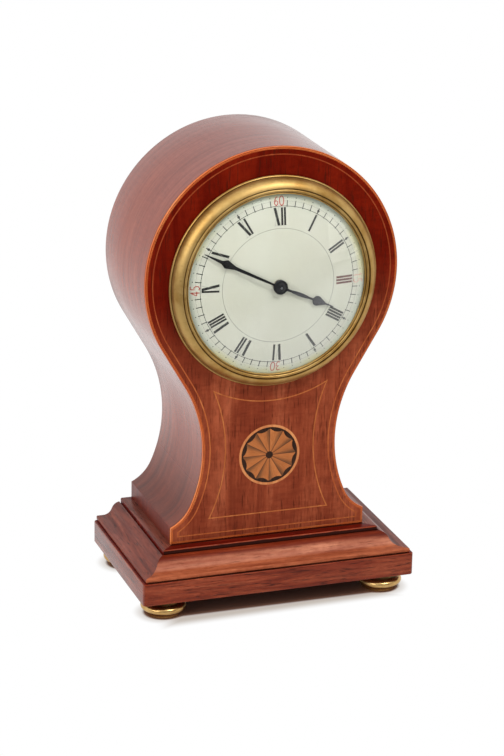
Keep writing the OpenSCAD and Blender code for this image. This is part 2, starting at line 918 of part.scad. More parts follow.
module plinth_top() {
    half = plinth_w / 2 - moulding_run;
    color(mahogany_dark)
        difference() {
            intersection() {
                rotate([90, 0, 0])
                    linear_extrude(plinth_d, center = true)
                        step2d(-half, half);
                rotate([90, 0, 90])
                    linear_extrude(plinth_w, center = true)
                        step2d(moulding_run - plinth_d / 2, plinth_d / 2 + 2 * step_r);
                translate([-half, -plinth_d / 2, 0])
                    cube([2 * half, plinth_d, plinth_z]);
            }
            at_case_screws()
                translate([0, 0, slab_top_z - cut])
                    cylinder(r = case_screw_r, h = plinth_z - slab_top_z + 2 * cut);
        }
}

// Moulding section: distance in from the slab's edge, height above the slab
module moulding2d() {
    start = moulding_set + moulding_flat;
    half = [ogee_w, ogee_h] / 2;
    translate([moulding_set, 0])
        square([moulding_flat + ogee_w, moulding_fillet]);
    difference() {
        translate([start, 0])
            square([half[0], moulding_fillet + half[1]]);
        translate([start, moulding_fillet + ogee_r])
            circle(ogee_r);
    }
    translate([start + half[0], 0])
        square([half[0], moulding_fillet + ogee_h - ogee_r]);
    intersection() {
        translate([start + half[0], moulding_fillet])
            square([half[0], ogee_h]);
        translate([start + ogee_w, moulding_fillet + ogee_h - ogee_r])
            circle(ogee_r);
    }
}

module moulding_front() {
    corner = [plinth_w, plinth_d] / 2;
    color(mahogany)
        intersection() {
            translate([0, -corner[1], slab_top_z])
                rotate([90, 0, 90])
                    linear_extrude(plinth_w, center = true)
                        moulding2d();
            linear_extrude(plinth_z)
                polygon([-corner, [corner[0], -corner[1]],
                         [corner[0] - moulding_run, moulding_run - corner[1]],
                         [moulding_run - corner[0], moulding_run - corner[1]]]);
        }
}

module moulding_side() {
    corner = [plinth_w, plinth_d] / 2;
    color(mahogany)
        intersection() {
            translate([-corner[0], 0, slab_top_z])
                rotate([90, 0, 0])
                    linear_extrude(plinth_d, center = true)
                        moulding2d();
            linear_extrude(plinth_z)
                polygon([-corner, [moulding_run - corner[0], moulding_run - corner[1]],
                         [moulding_run - corner[0], corner[1]], [-corner[0], corner[1]]]);
        }
}

module moulding_left() {
    moulding_side();
}

module moulding_right() {
    mirror([1, 0, 0])
        moulding_side();
}

module bun_foot(side, end) {
    roll = foot_h / 2 - foot_lip;
    color(brass)
        translate([side * foot_x, end * foot_y, 0]) {
            rotate_extrude() {
                square([foot_r - roll, foot_h]);
                translate([foot_r - roll, foot_h / 2])
                    intersection() {
                        circle(roll);
                        translate([0, -roll])
                            square(2 * roll);
                    }
            }
            cylinder(r = foot_stud_r, h = foot_h + foot_stud_l);
        }
}

module case_screws() {
    color(steel)
        at_case_screws()
            translate([0, 0, foot_h]) {
                cylinder(r = case_screw_head_r, h = case_screw_head_h);
                cylinder(r = case_screw_r, h = plinth_z - foot_h + case_screw_grip);
            }
}

// Bezel section: radius, height in front of the board
module bezel2d() {
    bore_r = sleeve_r - sleeve_wall;
    bead_at = bezel_r - bezel_bead_r;
    roll_at = bead_at - bezel_roll_r + overlap;
    ledge_r = sight_r + 2 * overlap;
    difference() {
        union() {
            translate([bore_r, 0])
                square([bead_at - bore_r, 2 * bezel_bead_r]);
            translate([bore_r, -sleeve_l])
                square([sleeve_wall, sleeve_l + glass_top]);
            translate([ledge_r, glass_h - ledge_t])
                square([sleeve_r - ledge_r, ledge_t + glass_rim_t]);
            intersection() {
                translate([roll_at, bezel_h - bezel_roll_r])
                    circle(bezel_roll_r);
                translate([bore_r, 0])
                    square([bezel_r, 2 * bezel_h]);
            }
            translate([bead_at, bezel_bead_r])
                circle(bezel_bead_r);
            translate([sight_r, glass_h])
                square([lip_w, glass_rim_t + lip_t]);
        }
        translate([0, glass_h])
            square([glass_r, glass_rim_t]);
    }
}

module front_bezel() {
    color(brass)
        at_dial()
            turned(face_y)
                bezel2d();
}

// Section of a dome: height top in the middle, radius r of its outer side, thickness t, width to edge
module dome2d(top, r, t, edge) {
    intersection() {
        translate([0, top - r])
            ring2d(r, r - t);
        translate([0, top - r])
            square([edge, r]);
    }
}

module dial_glass() {
    edge = sight_r - overlap;
    dome_r = (edge * edge + glass_rise * glass_rise) / (2 * glass_rise);
    color("#c8e0dc80")
        at_dial()
            turned(face_y) {
                intersection() {
                    dome2d(glass_top + glass_rise, dome_r, glass_t, glass_r);
                    translate([0, glass_h])
                        square([glass_r, glass_rim_t + glass_rise]);
                }
                translate([edge - glass_t, glass_h])
                    square([glass_r - edge + glass_t, glass_rim_t]);
            }
}

module dial() {
    color(enamel)
        at_dial()
            turned(face_y) {
                difference() {
                    dome2d(dial_h, dial_dome_r, dial_t, dial_r);
                    square([dial_hole_r, dial_h]);
                }
                translate([dial_r - dial_skirt, -sleeve_l])
                    square([dial_skirt, sleeve_l + dial_edge_h - dial_t / 2]);
            }
}

module dial_plate() {
    color(brass)
        at_dial() {
            slice(dial_back_y, dial_plate_t)
                ring2d(sleeve_r, dial_hole_r);
            for (p = pillar_at)
                translate([p[0], 0, p[1]])
                    rod(pillar_r, dial_back_y, dial_plate_t + under_dial);
        }
}

// Lens between two heights, as wide as w
module leaf2d(from, to, w) {
    half = (to - from) / 2;
    r = (half * half + w * w / 4) / w;
    translate([0, from + half])
        intersection() {
            translate([r - w / 2, 0])
                circle(r);
            translate([w / 2 - r, 0])
                circle(r);
        }
}

// Taper between two heights
module taper2d(from, to, w0, w1) {
    polygon([[-w0 / 2, from], [w0 / 2, from], [w1 / 2, to], [-w1 / 2, to]]);
}

module hour_hand2d() {
    spade_at = 0.685 * hour_l;
    spade_r = 0.079 * hour_l;
    shoulder_w = 1.7 * spade_r;
    leaf_w = 2.6;
    shaft_w = 1.3;
    neck_w = 1;
    tip_w = 0.4;
    circle(boss_r);
    taper2d(0, spade_at, shaft_w, neck_w);
    leaf2d(boss_r, spade_at - spade_r, leaf_w);
    translate([0, spade_at])
        circle(spade_r);
    taper2d(spade_at + spade_r / 2, spade_at + 2 * spade_r, shoulder_w, neck_w);
    taper2d(spade_at, hour_l, shaft_w, tip_w);
}

module minute_hand2d() {
    spade_from = 0.61 * minute_l;
    spade_at = 0.725 * minute_l;
    spade_to = 0.78 * minute_l;
    spade_w = 4.6;
    shaft_w = 1;
    heel_w = 2.2;
    point_w = 1.8;
    tip_w = 0.4;
    circle(boss_r);
    taper2d(0, spade_from, shaft_w, heel_w);
    taper2d(spade_from, spade_at, heel_w, spade_w);
    taper2d(spade_at, spade_to, spade_w, point_w);
    taper2d(spade_to, minute_l, point_w, tip_w);
}

// A flat hand with a hole for its pipe, bent to a dome whose front is at depth y in the middle
module bent_hand(y, bend_r, hole_r) {
    intersection() {
        slice(y - cut, cut + dial_h)
            difference() {
                children();
                circle(hole_r);
            }
        difference() {
            translate([0, y + bend_r, 0])
                sphere(bend_r);
            translate([0, y + bend_r, 0])
                sphere(bend_r - hand_t);
        }
    }
}

module hour_hand() {
    color(blued)
        at_dial()
            rotate([0, hour_angle, 0])
                bent_hand(hour_hand_y, hour_bend_r, hour_pipe_r)
                    hour_hand2d();
}

module minute_hand() {
    color(blued)
        at_dial()
            rotate([0, minute_angle, 0])
                bent_hand(minute_hand_y, minute_bend_r, cannon_r)
                    minute_hand2d();
}

module hand_collet() {
    dome_r = (collet_r * collet_r + collet_h * collet_h) / (2 * collet_h);
    color(blued)
        at_dial()
            turned(minute_hand_y)
                difference() {
                    intersection() {
                        translate([0, collet_h - dome_r])
                            circle(dome_r);
                        square([collet_r, collet_h]);
                    }
                    square([centre_r, collet_h / 2]);
                }
}

module plate2d(pivots) {
    difference() {
        circle(plate_r);
        circle(centre_r + pivot_clear);
        translate(barrel_at)
            circle(wind_r + pivot_clear);
        for (p = pivots)
            translate(p)
                circle(pivot_r + pivot_clear);
    }
}

module front_plate() {
    stud_y = minute_wheel_y - minute_pinion_h;
    color(brass)
        at_dial() {
            slice(front_plate_y, front_plate_t)
                plate2d([third_at, fourth_at, escape_at]);
            translate([minute_at[0], 0, minute_at[1]])
                rod(minute_stud_r, stud_y, inner_y - stud_y);
        }
}

module back_plate() {
    color(brass)
        at_dial() {
            difference() {
                slice(rear_inner_y, back_plate_t)
                    difference() {
                        plate2d([third_at, fourth_at]);
                        translate(escape_at)
                            circle(arbor_r + shake);
                    }
                pillar_screw_places()
                    rod(screw_r, rear_inner_y - cut, back_plate_t + 2 * cut);
                platform_screw_places()
                    rod(screw_r, platform_y - screw_l, screw_l + cut);
            }
            translate([click_at[0], 0, click_at[1]])
                rod(click_pin_r, rear_inner_y, back_plate_t + shake + ratchet_t);
        }
}

module pillar_screw_places() {
    for (p = pillar_at)
        translate([p[0], 0, p[1]])
            children();
}

module platform_screw_places() {
    for (p = platform_screws)
        translate([p[0], 0, p[1]])
            children();
}

module pillars() {
    color(brass)
        at_dial()
            pillar_screw_places()
                difference() {
                    rod(pillar_r, inner_y, plate_gap);
                    rod(screw_r, movement_y - screw_l, screw_l);
                }
}

module movement_screws() {
    color(steel)
        at_dial() {
            pillar_screw_places()
                slotted_screw(movement_y, screw_head_r, screw_head_h, screw_r, screw_l);
            platform_screw_places()
                slotted_screw(platform_y, screw_head_r, screw_head_h, screw_r, screw_l);
        }
}

module barrel() {
    color(brass)
        at_dial(barrel_at) {
            slice(barrel_y, barrel_floor_t)
                difference() {
                    polygon(tooth_points(barrel_teeth, barrel_module, 0, tooth_out, wheel_root, wheel_tip));
                    circle(wind_r + pivot_clear);
                }
            slice(barrel_y, barrel_h)
                ring2d(drum_r, drum_r - drum_wall);
        }
}

module barrel_cap() {
    color(brass)
        at_dial(barrel_at)
            slice(barrel_y + barrel_h - drum_wall, drum_wall)
                ring2d(drum_r - drum_wall, wind_r + pivot_clear);
}

module winding_arbor() {
    core_y = barrel_y + barrel_floor_t + shake;
    core_l = barrel_h - barrel_floor_t - drum_wall - 2 * shake;
    color(steel)
        at_dial(barrel_at) {
            rod(wind_r, front_plate_y, ratchet_y - front_plate_y);
            rod(core_r, core_y, core_l);
            slice(movement_y, wind_l)
                square(wind_square, center = true);
        }
}

module mainspring() {
    spring_y = barrel_y + barrel_floor_t + shake;
    spring_h = barrel_h - barrel_floor_t - drum_wall - 2 * shake;
    color(steel)
        at_dial(barrel_at)
            slice(spring_y, spring_h)
                polygon(spiral_points(core_r + shake + spring_t, drum_r - drum_wall - spring_t / 2,
                                      spring_turns, spring_t));
}

module ratchet_wheel() {
    step = 360 / ratchet_teeth;
    color(steel)
        at_dial(barrel_at)
            slice(ratchet_y, ratchet_t)
                difference() {
                    polygon([for (i = [0 : ratchet_teeth - 1])
                        for (r = [ratchet_r - ratchet_tooth, ratchet_r])
                            polar(r, i * step)]);
                    square(wind_square, center = true);
                }
}

// Click drawn from its pivot, with its nose near the ratchet
module click2d() {
    nose = polar(ratchet_r + click_gap, click_nose_dir) - polar(click_d, click_dir);
    heel = nose + click_heel;
    difference() {
        union() {
            circle(click_r);
            polygon([[-click_r, 0], nose, heel, [click_r, 0]]);
        }
        circle(click_pin_r + pivot_clear);
    }
}

module click() {
    color(steel)
        at_dial(click_at)
            slice(ratchet_y, ratchet_t)
                click2d();
}

module click_spring() {
    side = [click_spring_w, 0];
    color(steel)
        at_dial(click_at)
            slice(movement_y, shake + ratchet_t) {
                translate(click_spring_root)
                    circle(click_spring_foot_r);
                polygon([click_spring_tip, click_spring_tip + side,
                         click_spring_root + side, click_spring_root]);
            }
}

module centre_wheel() {
    pinion_a = in_mesh(barrel_dir + 180, 0, barrel_teeth, centre_leaves);
    bore = centre_r + pipe_clear;
    color(brass)
        at_dial() {
            slice(centre_wheel_y, wheel_t)
                difference() {
                    wheel_blank(centre_teeth, centre_module, 0, 5);
                    circle(bore);
                }
            slice(inner_y + shake, barrel_lift + barrel_floor_t + pinion_over - shake)
                difference() {
                    pinion_blank(centre_leaves, barrel_module, pinion_a);
                    circle(bore);
                }
            slice(inner_y + shake, plate_gap - 2 * shake)
                ring2d(centre_leaves * barrel_module / 2 - tooth_in * barrel_module, bore);
        }
}

module centre_arbor() {
    knob_y = movement_y + knob_out;
    ridges = 36;
    ridge_root = 0.35;
    ridge_tip = 0.2;
    color(steel)
        at_dial() {
            rod(centre_r, minute_hand_y - collet_h / 2, knob_y + knob_t - minute_hand_y + collet_h / 2);
            slice(knob_y, knob_t)
                polygon(tooth_points(ridges, 2 * knob_r / ridges, 0, 0, ridge_root, ridge_tip));
        }
}

module third_wheel() {
    a = in_mesh(third_dir, 0, centre_teeth, third_leaves);
    color(brass)
        at_dial(third_at) {
            train_arbor();
            slice(third_wheel_y, wheel_t)
                wheel_blank(third_teeth, third_module, 0, 4);
            slice(centre_wheel_y - pinion_over, wheel_t + 2 * pinion_over)
                pinion_blank(third_leaves, centre_module, a);
        }
}

module fourth_wheel() {
    a = in_mesh(fourth_dir, 0, third_teeth, fourth_leaves);
    color(brass)
        at_dial(fourth_at) {
            train_arbor();
            slice(fourth_wheel_y, wheel_t)
                wheel_blank(fourth_teeth, fourth_module, 0, 4);
            slice(third_wheel_y - pinion_over, wheel_t + 2 * pinion_over)
                pinion_blank(fourth_leaves, third_module, a);
        }
}

module cannon_pinion() {
    color(steel)
        at_dial() {
            slice(cannon_y, cannon_t)
                difference() {
                    pinion_blank(cannon_leaves, cannon_module, 0);
                    circle(centre_r);
                }
            slice(minute_hand_y, cannon_y + cannon_t - minute_hand_y)
                ring2d(cannon_r, centre_r);
        }
}

module minute_wheel() {
    wheel_a = in_mesh(minute_dir, 0, cannon_leaves, minute_teeth);
    color(brass)
        at_dial(minute_at)
            difference() {
                union() {
                    slice(minute_wheel_y, wheel_t)
                        wheel_blank(minute_teeth, cannon_module, wheel_a, 4);
                    slice(minute_wheel_y - minute_pinion_h, minute_pinion_h + wheel_t)
                        pinion_blank(minute_leaves, minute_module, 0);
                }
                rod(minute_stud_r + pivot_clear, minute_wheel_y - minute_pinion_h - cut,
                    minute_pinion_h + wheel_t + 2 * cut);
            }
}

module hour_wheel() {
    a = in_mesh(minute_dir + 180, 0, minute_leaves, hour_teeth);
    bore = cannon_r + pipe_clear;
    color(brass)
        at_dial() {
            slice(hour_wheel_y, wheel_t)
                difference() {
                    union() {
                        wheel_blank(hour_teeth, minute_module, a, 4);
                        circle(hour_pipe_r);
                    }
                    circle(bore);
                }
            slice(hour_hand_y, hour_wheel_y + wheel_t - hour_hand_y)
                ring2d(hour_pipe_r, bore);
        }
}

module platform() {
    color(brass)
        at_dial()
            difference() {
                slice(movement_y, platform_t)
                    difference() {
                        translate([platform_left, platform_low])
                            square([platform_right - platform_left, platform_high - platform_low]);
                        translate(escape_at)
                            circle(arbor_r + shake);
                        for (p = [lever_at, balance_at])
                            translate(p)
                                circle(staff_r + pivot_clear);
                    }
                platform_screw_places()
                    rod(screw_r, movement_y - cut, platform_t + 2 * cut);
            }
}

module escape_wheel() {
    a = in_mesh(escape_dir, 0, fourth_teeth, escape_leaves);
    step = 360 / escape_teeth;
    root_r = escape_r - escape_tooth;
    rim_r = root_r - escape_rim;
    tooth = [[escape_r, 0], [escape_r, 2.5], [root_r, 9], [root_r, 21]];
    color(steel)
        at_dial(escape_at) {
            slice(escape_y, escape_t) {
                difference() {
                    polygon([for (i = [0 : escape_teeth - 1])
                        for (c = tooth)
                            polar(c[0], i * step + c[1])]);
                    circle(rim_r);
                }
                circle(2 * staff_r);
                for (k = [0 : 3])
                    rotate(k * 90)
                        translate([0, -staff_r / 2])
                            square([rim_r + escape_rim / 2, staff_r]);
            }
            slice(fourth_wheel_y - pinion_over, wheel_t + 2 * pinion_over)
                pinion_blank(escape_leaves, fourth_module, a);
            rod(staff_r, inner_y + shake, escape_cock_y + escape_cock_t - inner_y - shake);
            rod(pivot_r, front_plate_y, front_plate_t + shake);
        }
}

// Anchor arms round the escape wheel, with a fork towards the balance
module pallet_lever() {
    reach = escape_r + pallet_gap;
    arm_w = 0.9;
    arm_half_angle = 50;
    bar_w = 0.7;
    head_w = 1.8;
    head_l = 1.2;
    slot_w = 0.6;
    slot_l = 1;
    fork_l = balance_d - roller_r + slot_w;
    color(steel)
        at_dial(lever_at) {
            slice(escape_y, escape_t) {
                translate([lever_d, 0])
                    intersection() {
                        ring2d(reach + arm_w, reach);
                        polygon([[0, 0], polar(2 * reach, 180 - arm_half_angle), [-2 * reach, 0],
                                 polar(2 * reach, 180 + arm_half_angle)]);
                    }
                circle(2 * staff_r);
                difference() {
                    union() {
                        translate([-fork_l, -bar_w / 2])
                            square([fork_l, bar_w]);
                        translate([-fork_l, -head_w / 2])
                            square([head_l, head_w]);
                    }
                    translate([-fork_l - cut, -slot_w / 2])
                        square([slot_l + cut, slot_w]);
                }
            }
            rod(staff_r, movement_y, escape_cock_y + escape_cock_t - movement_y);
        }
}

module escape_cock() {
    bar_w = 3.4;
    bar_end = 1.4;
    left = lever_at[0] - bar_end;
    foot_x0 = escape_at[0] + escape_foot_out;
    color(brass)
        at_dial() {
            slice(escape_cock_y, escape_cock_t)
                difference() {
                    translate([left, escape_at[1] - bar_w / 2])
                        square([foot_x0 + escape_foot_w - left, bar_w]);
                    for (p = [escape_at, lever_at])
                        translate(p)
                            circle(staff_r + pivot_clear);
                }
            slice(platform_y, escape_cock_y + escape_cock_t - platform_y)
                translate([foot_x0, escape_at[1] - bar_w / 2])
                    square([escape_foot_w, bar_w]);
        }
}

module balance_wheel() {
    pin_r = 0.2;
    pin_drop = 0.1;
    balance_hub_r = 2.4 * staff_r;
    color(brass)
        at_dial(balance_at) {
            slice(balance_y, balance_t) {
                ring2d(balance_r, balance_r - balance_rim);
                translate([-balance_r + balance_rim / 2, -spoke_w / 2])
                    square([2 * balance_r - balance_rim, spoke_w]);
                circle(balance_hub_r);
            }
            slice(roller_y, roller_t)
                circle(roller_r);
            translate([roller_r - 2 * pin_r, 0, 0])
                rod(pin_r, roller_y - pin_drop, roller_t);
            rod(staff_r, movement_y, balance_cock_y + balance_cock_t - movement_y);
        }
}

module hairspring() {
    color(steel)
        at_dial(balance_at)
            slice(hair_y, hair_h) {
                polygon(spiral_points(hair_hub_r, hair_r, hair_turns, hair_t));
                ring2d(hair_hub_r + hair_t / 2, staff_r);
            }
}

module balance_cock() {
    arm_w = 4.4;
    color(brass)
        at_dial(balance_at)
            difference() {
                union() {
                    slice(balance_cock_y, balance_cock_t) {
                        circle(arm_w / 2);
                        translate([-arm_w / 2, 0])
                            square([arm_w, cock_foot_up + cock_foot_t]);
                    }
                    slice(platform_y, index_y - platform_y)
                        translate([-cock_foot_w / 2, cock_foot_up])
                            square([cock_foot_w, cock_foot_t]);
                    rod(index_boss_r, balance_cock_y, balance_cock_t + index_t);
                }
                rod(staff_r + pivot_clear, balance_cock_y - cut, balance_cock_t + cut);
            }
}

module regulator_index() {
    bore = index_boss_r + pivot_clear;
    eye_w = 0.9;
    root_w = 1.6;
    tip_w = 0.5;
    tail_l = 4;
    tail_w = 1.2;
    color(steel)
        at_dial(balance_at)
            slice(index_y, index_t)
                difference() {
                    union() {
                        circle(bore + eye_w);
                        taper2d(0, index_l, root_w, tip_w);
                        taper2d(-tail_l, 0, tail_w, tail_w);
                    }
                    circle(bore);
                }
}

module strap_places() {
    for (a = [90, 270])
        at_dial(polar(strap_screw_at, a))
            children();
}

module rear_ring() {
    knuckle_from = knuckle_half + knuckle_gap;
    color(brass)
        difference() {
            at_dial() {
                slice(back_board_y, back_t + rear_flange_t)
                    ring2d(rear_open_r + rear_sleeve, rear_open_r);
                slice(flange_y, rear_flange_t)
                    ring2d(rear_flange_r, rear_open_r);
                for (z = [knuckle_from, -knuckle_from - knuckle_l])
                    translate([0, 0, z]) {
                        translate([hinge_x, hinge_y, 0])
                            cylinder(r = knuckle_r, h = knuckle_l);
                        translate([hinge_x, flange_y, 0])
                            cube([rear_flange_r - rear_open_r, rear_flange_t, knuckle_l]);
                    }
            }
            at_dial()
                translate([hinge_x, hinge_y, -knuckle_from - knuckle_l - cut])
                    cylinder(r = hinge_pin_r, h = 2 * (knuckle_from + knuckle_l + cut));
            strap_places()
                rod(strap_screw_r, flange_y - cut, rear_flange_t + 2 * cut);
        }
}

module rear_door() {
    pull_x = rear_open_r - 2 * pull_r;
    pull_neck_r = 0.6 * pull_r;
    color(brass)
        at_dial()
            difference() {
                union() {
                    rod(door_r, door_y, door_t);
                    translate([hinge_x, door_y, -knuckle_half])
                        cube([-hinge_x - rear_open_r + knuckle_r * 3, door_t, 2 * knuckle_half]);
                    translate([hinge_x, hinge_y, -knuckle_half])
                        cylinder(r = knuckle_r, h = 2 * knuckle_half);
                    translate([pull_x, 0, 0]) {
                        rod(pull_neck_r, door_y, door_t + pull_h);
                        rod(pull_r, door_y + door_t + pull_h / 2, pull_h / 2);
                    }
                }
                translate([hinge_x, hinge_y, -knuckle_half - cut])
                    cylinder(r = hinge_pin_r + hinge_clear, h = 2 * (knuckle_half + cut));
            }
}

module door_pin() {
    half = knuckle_half + knuckle_gap + knuckle_l;
    color(steel)
        at_dial()
            translate([hinge_x, hinge_y, -half])
                cylinder(r = hinge_pin_r, h = 2 * half);
}

module straps() {
    foot_from = min(strap_at, strap_screw_at - strap_screw_head_r);
    foot_to = max(strap_at + strap_t, strap_screw_at + strap_screw_head_r);
    color(brass)
        at_dial()
            for (a = [0, 180])
                rotate([0, a, 0])
                    difference() {
                        union() {
                            translate([-strap_w / 2, dial_plate_y, strap_at])
                                cube([strap_w, back_board_y - dial_plate_y, strap_t]);
                            translate([-strap_w / 2, back_board_y - strap_t, foot_from])
                                cube([strap_w, strap_t, foot_to - foot_from]);
                        }
                        translate([0, 0, strap_screw_at])
                            rod(strap_screw_r, back_board_y - strap_t - cut, strap_t + 2 * cut);
                    }
}

module strap_screws() {
    grip = back_t + rear_flange_t + strap_t;
    color(steel)
        strap_places()
            slotted_screw(flange_y + rear_flange_t, strap_screw_head_r, screw_head_h, strap_screw_r, grip);
}

front_board();
case_band();
case_floor();
back_board();
edge_stringing();
inner_stringing();
panel_stringing();
patera_ring();
patera_ground();
patera_petals();
patera_shading();
patera_eye();
plinth_slab();
plinth_top();
moulding_front();
moulding_left();
moulding_right();
bun_foot(-1, -1);  // foot_front_left
bun_foot(1, -1);  // foot_front_right
bun_foot(-1, 1);  // foot_back_left
bun_foot(1, 1);  // foot_back_right
case_screws();
front_bezel();
dial_glass();
dial();
dial_plate();
hour_hand();
minute_hand();
hand_collet();
front_plate();
back_plate();
pillars();
movement_screws();
barrel();
barrel_cap();
winding_arbor();
mainspring();
ratchet_wheel();
click();
click_spring();
centre_wheel();
centre_arbor();
third_wheel();
fourth_wheel();
cannon_pinion();
minute_wheel();
hour_wheel();
platform();
escape_wheel();
pallet_lever();
escape_cock();
balance_wheel();
hairspring();
balance_cock();
regulator_index();
rear_ring();
rear_door();
door_pin();
straps();
strap_screws();
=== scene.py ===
import math

import bmesh
import bpy
from mathutils import Matrix, Vector


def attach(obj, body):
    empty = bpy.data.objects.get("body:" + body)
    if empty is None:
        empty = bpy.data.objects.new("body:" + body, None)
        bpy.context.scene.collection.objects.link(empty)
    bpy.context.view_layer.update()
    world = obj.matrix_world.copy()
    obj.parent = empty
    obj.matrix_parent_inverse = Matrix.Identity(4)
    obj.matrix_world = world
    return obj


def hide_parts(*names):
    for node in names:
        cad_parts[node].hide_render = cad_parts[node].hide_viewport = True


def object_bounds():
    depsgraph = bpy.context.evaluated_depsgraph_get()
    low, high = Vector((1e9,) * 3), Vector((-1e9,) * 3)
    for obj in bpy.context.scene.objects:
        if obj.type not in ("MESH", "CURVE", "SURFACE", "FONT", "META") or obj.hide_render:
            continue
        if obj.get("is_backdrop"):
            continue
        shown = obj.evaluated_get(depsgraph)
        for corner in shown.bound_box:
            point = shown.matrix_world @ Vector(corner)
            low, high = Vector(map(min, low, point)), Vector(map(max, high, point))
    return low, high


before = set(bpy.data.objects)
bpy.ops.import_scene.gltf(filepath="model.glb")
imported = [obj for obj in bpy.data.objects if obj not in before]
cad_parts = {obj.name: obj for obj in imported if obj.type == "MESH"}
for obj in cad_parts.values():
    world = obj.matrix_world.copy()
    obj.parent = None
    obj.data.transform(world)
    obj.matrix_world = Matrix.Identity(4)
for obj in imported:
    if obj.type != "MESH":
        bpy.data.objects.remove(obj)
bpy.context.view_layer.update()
scene = bpy.context.scene
scene.view_settings.view_transform = "Standard"
mm = 0.001
print("frame loaded with", len(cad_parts), "nodes")


# small tools for shader trees

def paint(red, green, blue):
    # a colour as a picture editor shows it, 0 to 255
    def linear(level):
        share = level / 255
        return share / 12.92 if share <= 0.04045 else ((share + 0.055) / 1.055) ** 2.4
    return (linear(red), linear(green), linear(blue), 1.0)


def painted(look):
    # a finish with its colours, which are its sets of three, made ready for the shader
    ready = dict(look)
    for key, value in look.items():
        if isinstance(value, tuple) and len(value) == 3:
            ready[key] = paint(*value)
    return ready


def setSockets(node, sockets):
    for key, value in sockets.items():
        if isinstance(value, bpy.types.NodeSocket):
            node.id_data.links.new(value, node.inputs[key])
        else:
            node.inputs[key].default_value = value


def nodeAdder(tree):
    def add(kind, sockets=None, **settings):
        node = tree.nodes.new(kind)
        for key, value in settings.items():
            setattr(node, key, value)
        setSockets(node, sockets or {})
        return node
    return add


def blendShaders(tree, outputName, share, first, second):
    both = nodeAdder(tree)("ShaderNodeMixShader", {0: share, 1: first, 2: second})
    tree.links.new(both.outputs[0], tree.nodes[outputName].inputs["Surface"])


def makeMaterial(name, build, look):
    # build gives the shader's sockets, and may give a second shader and its share to blend in
    material = bpy.data.materials.new(name)
    material.use_nodes = True
    tree = material.node_tree
    shader = tree.nodes["Principled BSDF"]
    sockets = build(nodeAdder(tree), painted(look))
    if "blend" in sockets:
        share, second = sockets.pop("blend")
        blendShaders(tree, "Material Output", share, shader.outputs[0], second)
    setSockets(shader, sockets)
    return material


def objectPlace(add):
    return add("ShaderNodeTexCoord").outputs["Object"]


def mapped(add, coords, scale=(1, 1, 1), location=(0, 0, 0)):
    return add("ShaderNodeMapping", {"Vector": coords, "Scale": scale, "Location": location}).outputs[0]


def noise(add, coords, scale=1.0, detail=4.0, roughness=0.5, distortion=0.0):
    sockets = {"Vector": coords, "Scale": scale, "Detail": detail, "Roughness": roughness,
               "Distortion": distortion}
    return add("ShaderNodeTexNoise", sockets).outputs[0]


def ramp(add, factor, stops):
    node = add("ShaderNodeValToRGB", {0: factor})
    marks = node.color_ramp.elements
    while len(marks) < len(stops):
        marks.new(0.5)
    for mark, (position, colour) in zip(marks, stops):
        mark.position = position
        mark.color = colour
    return node.outputs[0]


def mixed(add, factor, first, second, blend="MIX"):
    sockets = {0: factor, 6: first, 7: second}
    return add("ShaderNodeMix", sockets, data_type="RGBA", blend_type=blend).outputs[2]


def remap(add, value, fromLow, fromHigh, low, high, smooth=False):
    sockets = {0: value, 1: fromLow, 2: fromHigh, 3: low, 4: high}
    style = "SMOOTHSTEP" if smooth else "LINEAR"
    return add("ShaderNodeMapRange", sockets, interpolation_type=style).outputs[0]


def rise(add, value, fromLow, fromHigh, top=1.0):
    # a soft rise from nothing
    return remap(add, value, fromLow, fromHigh, 0.0, top, True)


def maths(add, operation, first, second=0.0):
    return add("ShaderNodeMath", {0: first, 1: second}, operation=operation).outputs[0]


def times(add, first, second):
    return maths(add, "MULTIPLY", first, second)


def apart(add, value, other):
    return maths(add, "ABSOLUTE", maths(add, "SUBTRACT", value, other))


def xyz(add, place):
    return add("ShaderNodeSeparateXYZ", {0: place}).outputs


def joined(add, sockets):
    return add("ShaderNodeCombineXYZ", sockets).outputs[0]


def hypotenuse(add, first, second):
    return maths(add, "SQRT", maths(add, "ADD", times(add, first, first), times(add, second, second)))


def radiusOf(add, place):
    # distance from an axis that runs forwards
    part = xyz(add, place)
    return hypotenuse(add, part["X"], part["Z"])


def bumped(add, height, strength, distance):
    sockets = {"Height": height, "Strength": strength, "Distance": distance}
    return add("ShaderNodeBump", sockets).outputs[0]


# finishes; colours are red, green and blue from 0 to 255, pattern sizes are per metre

dialPlace = {"z": 172.771, "hole": 51.35}
pateraPlace = {"z": 77.7, "petals": 12}

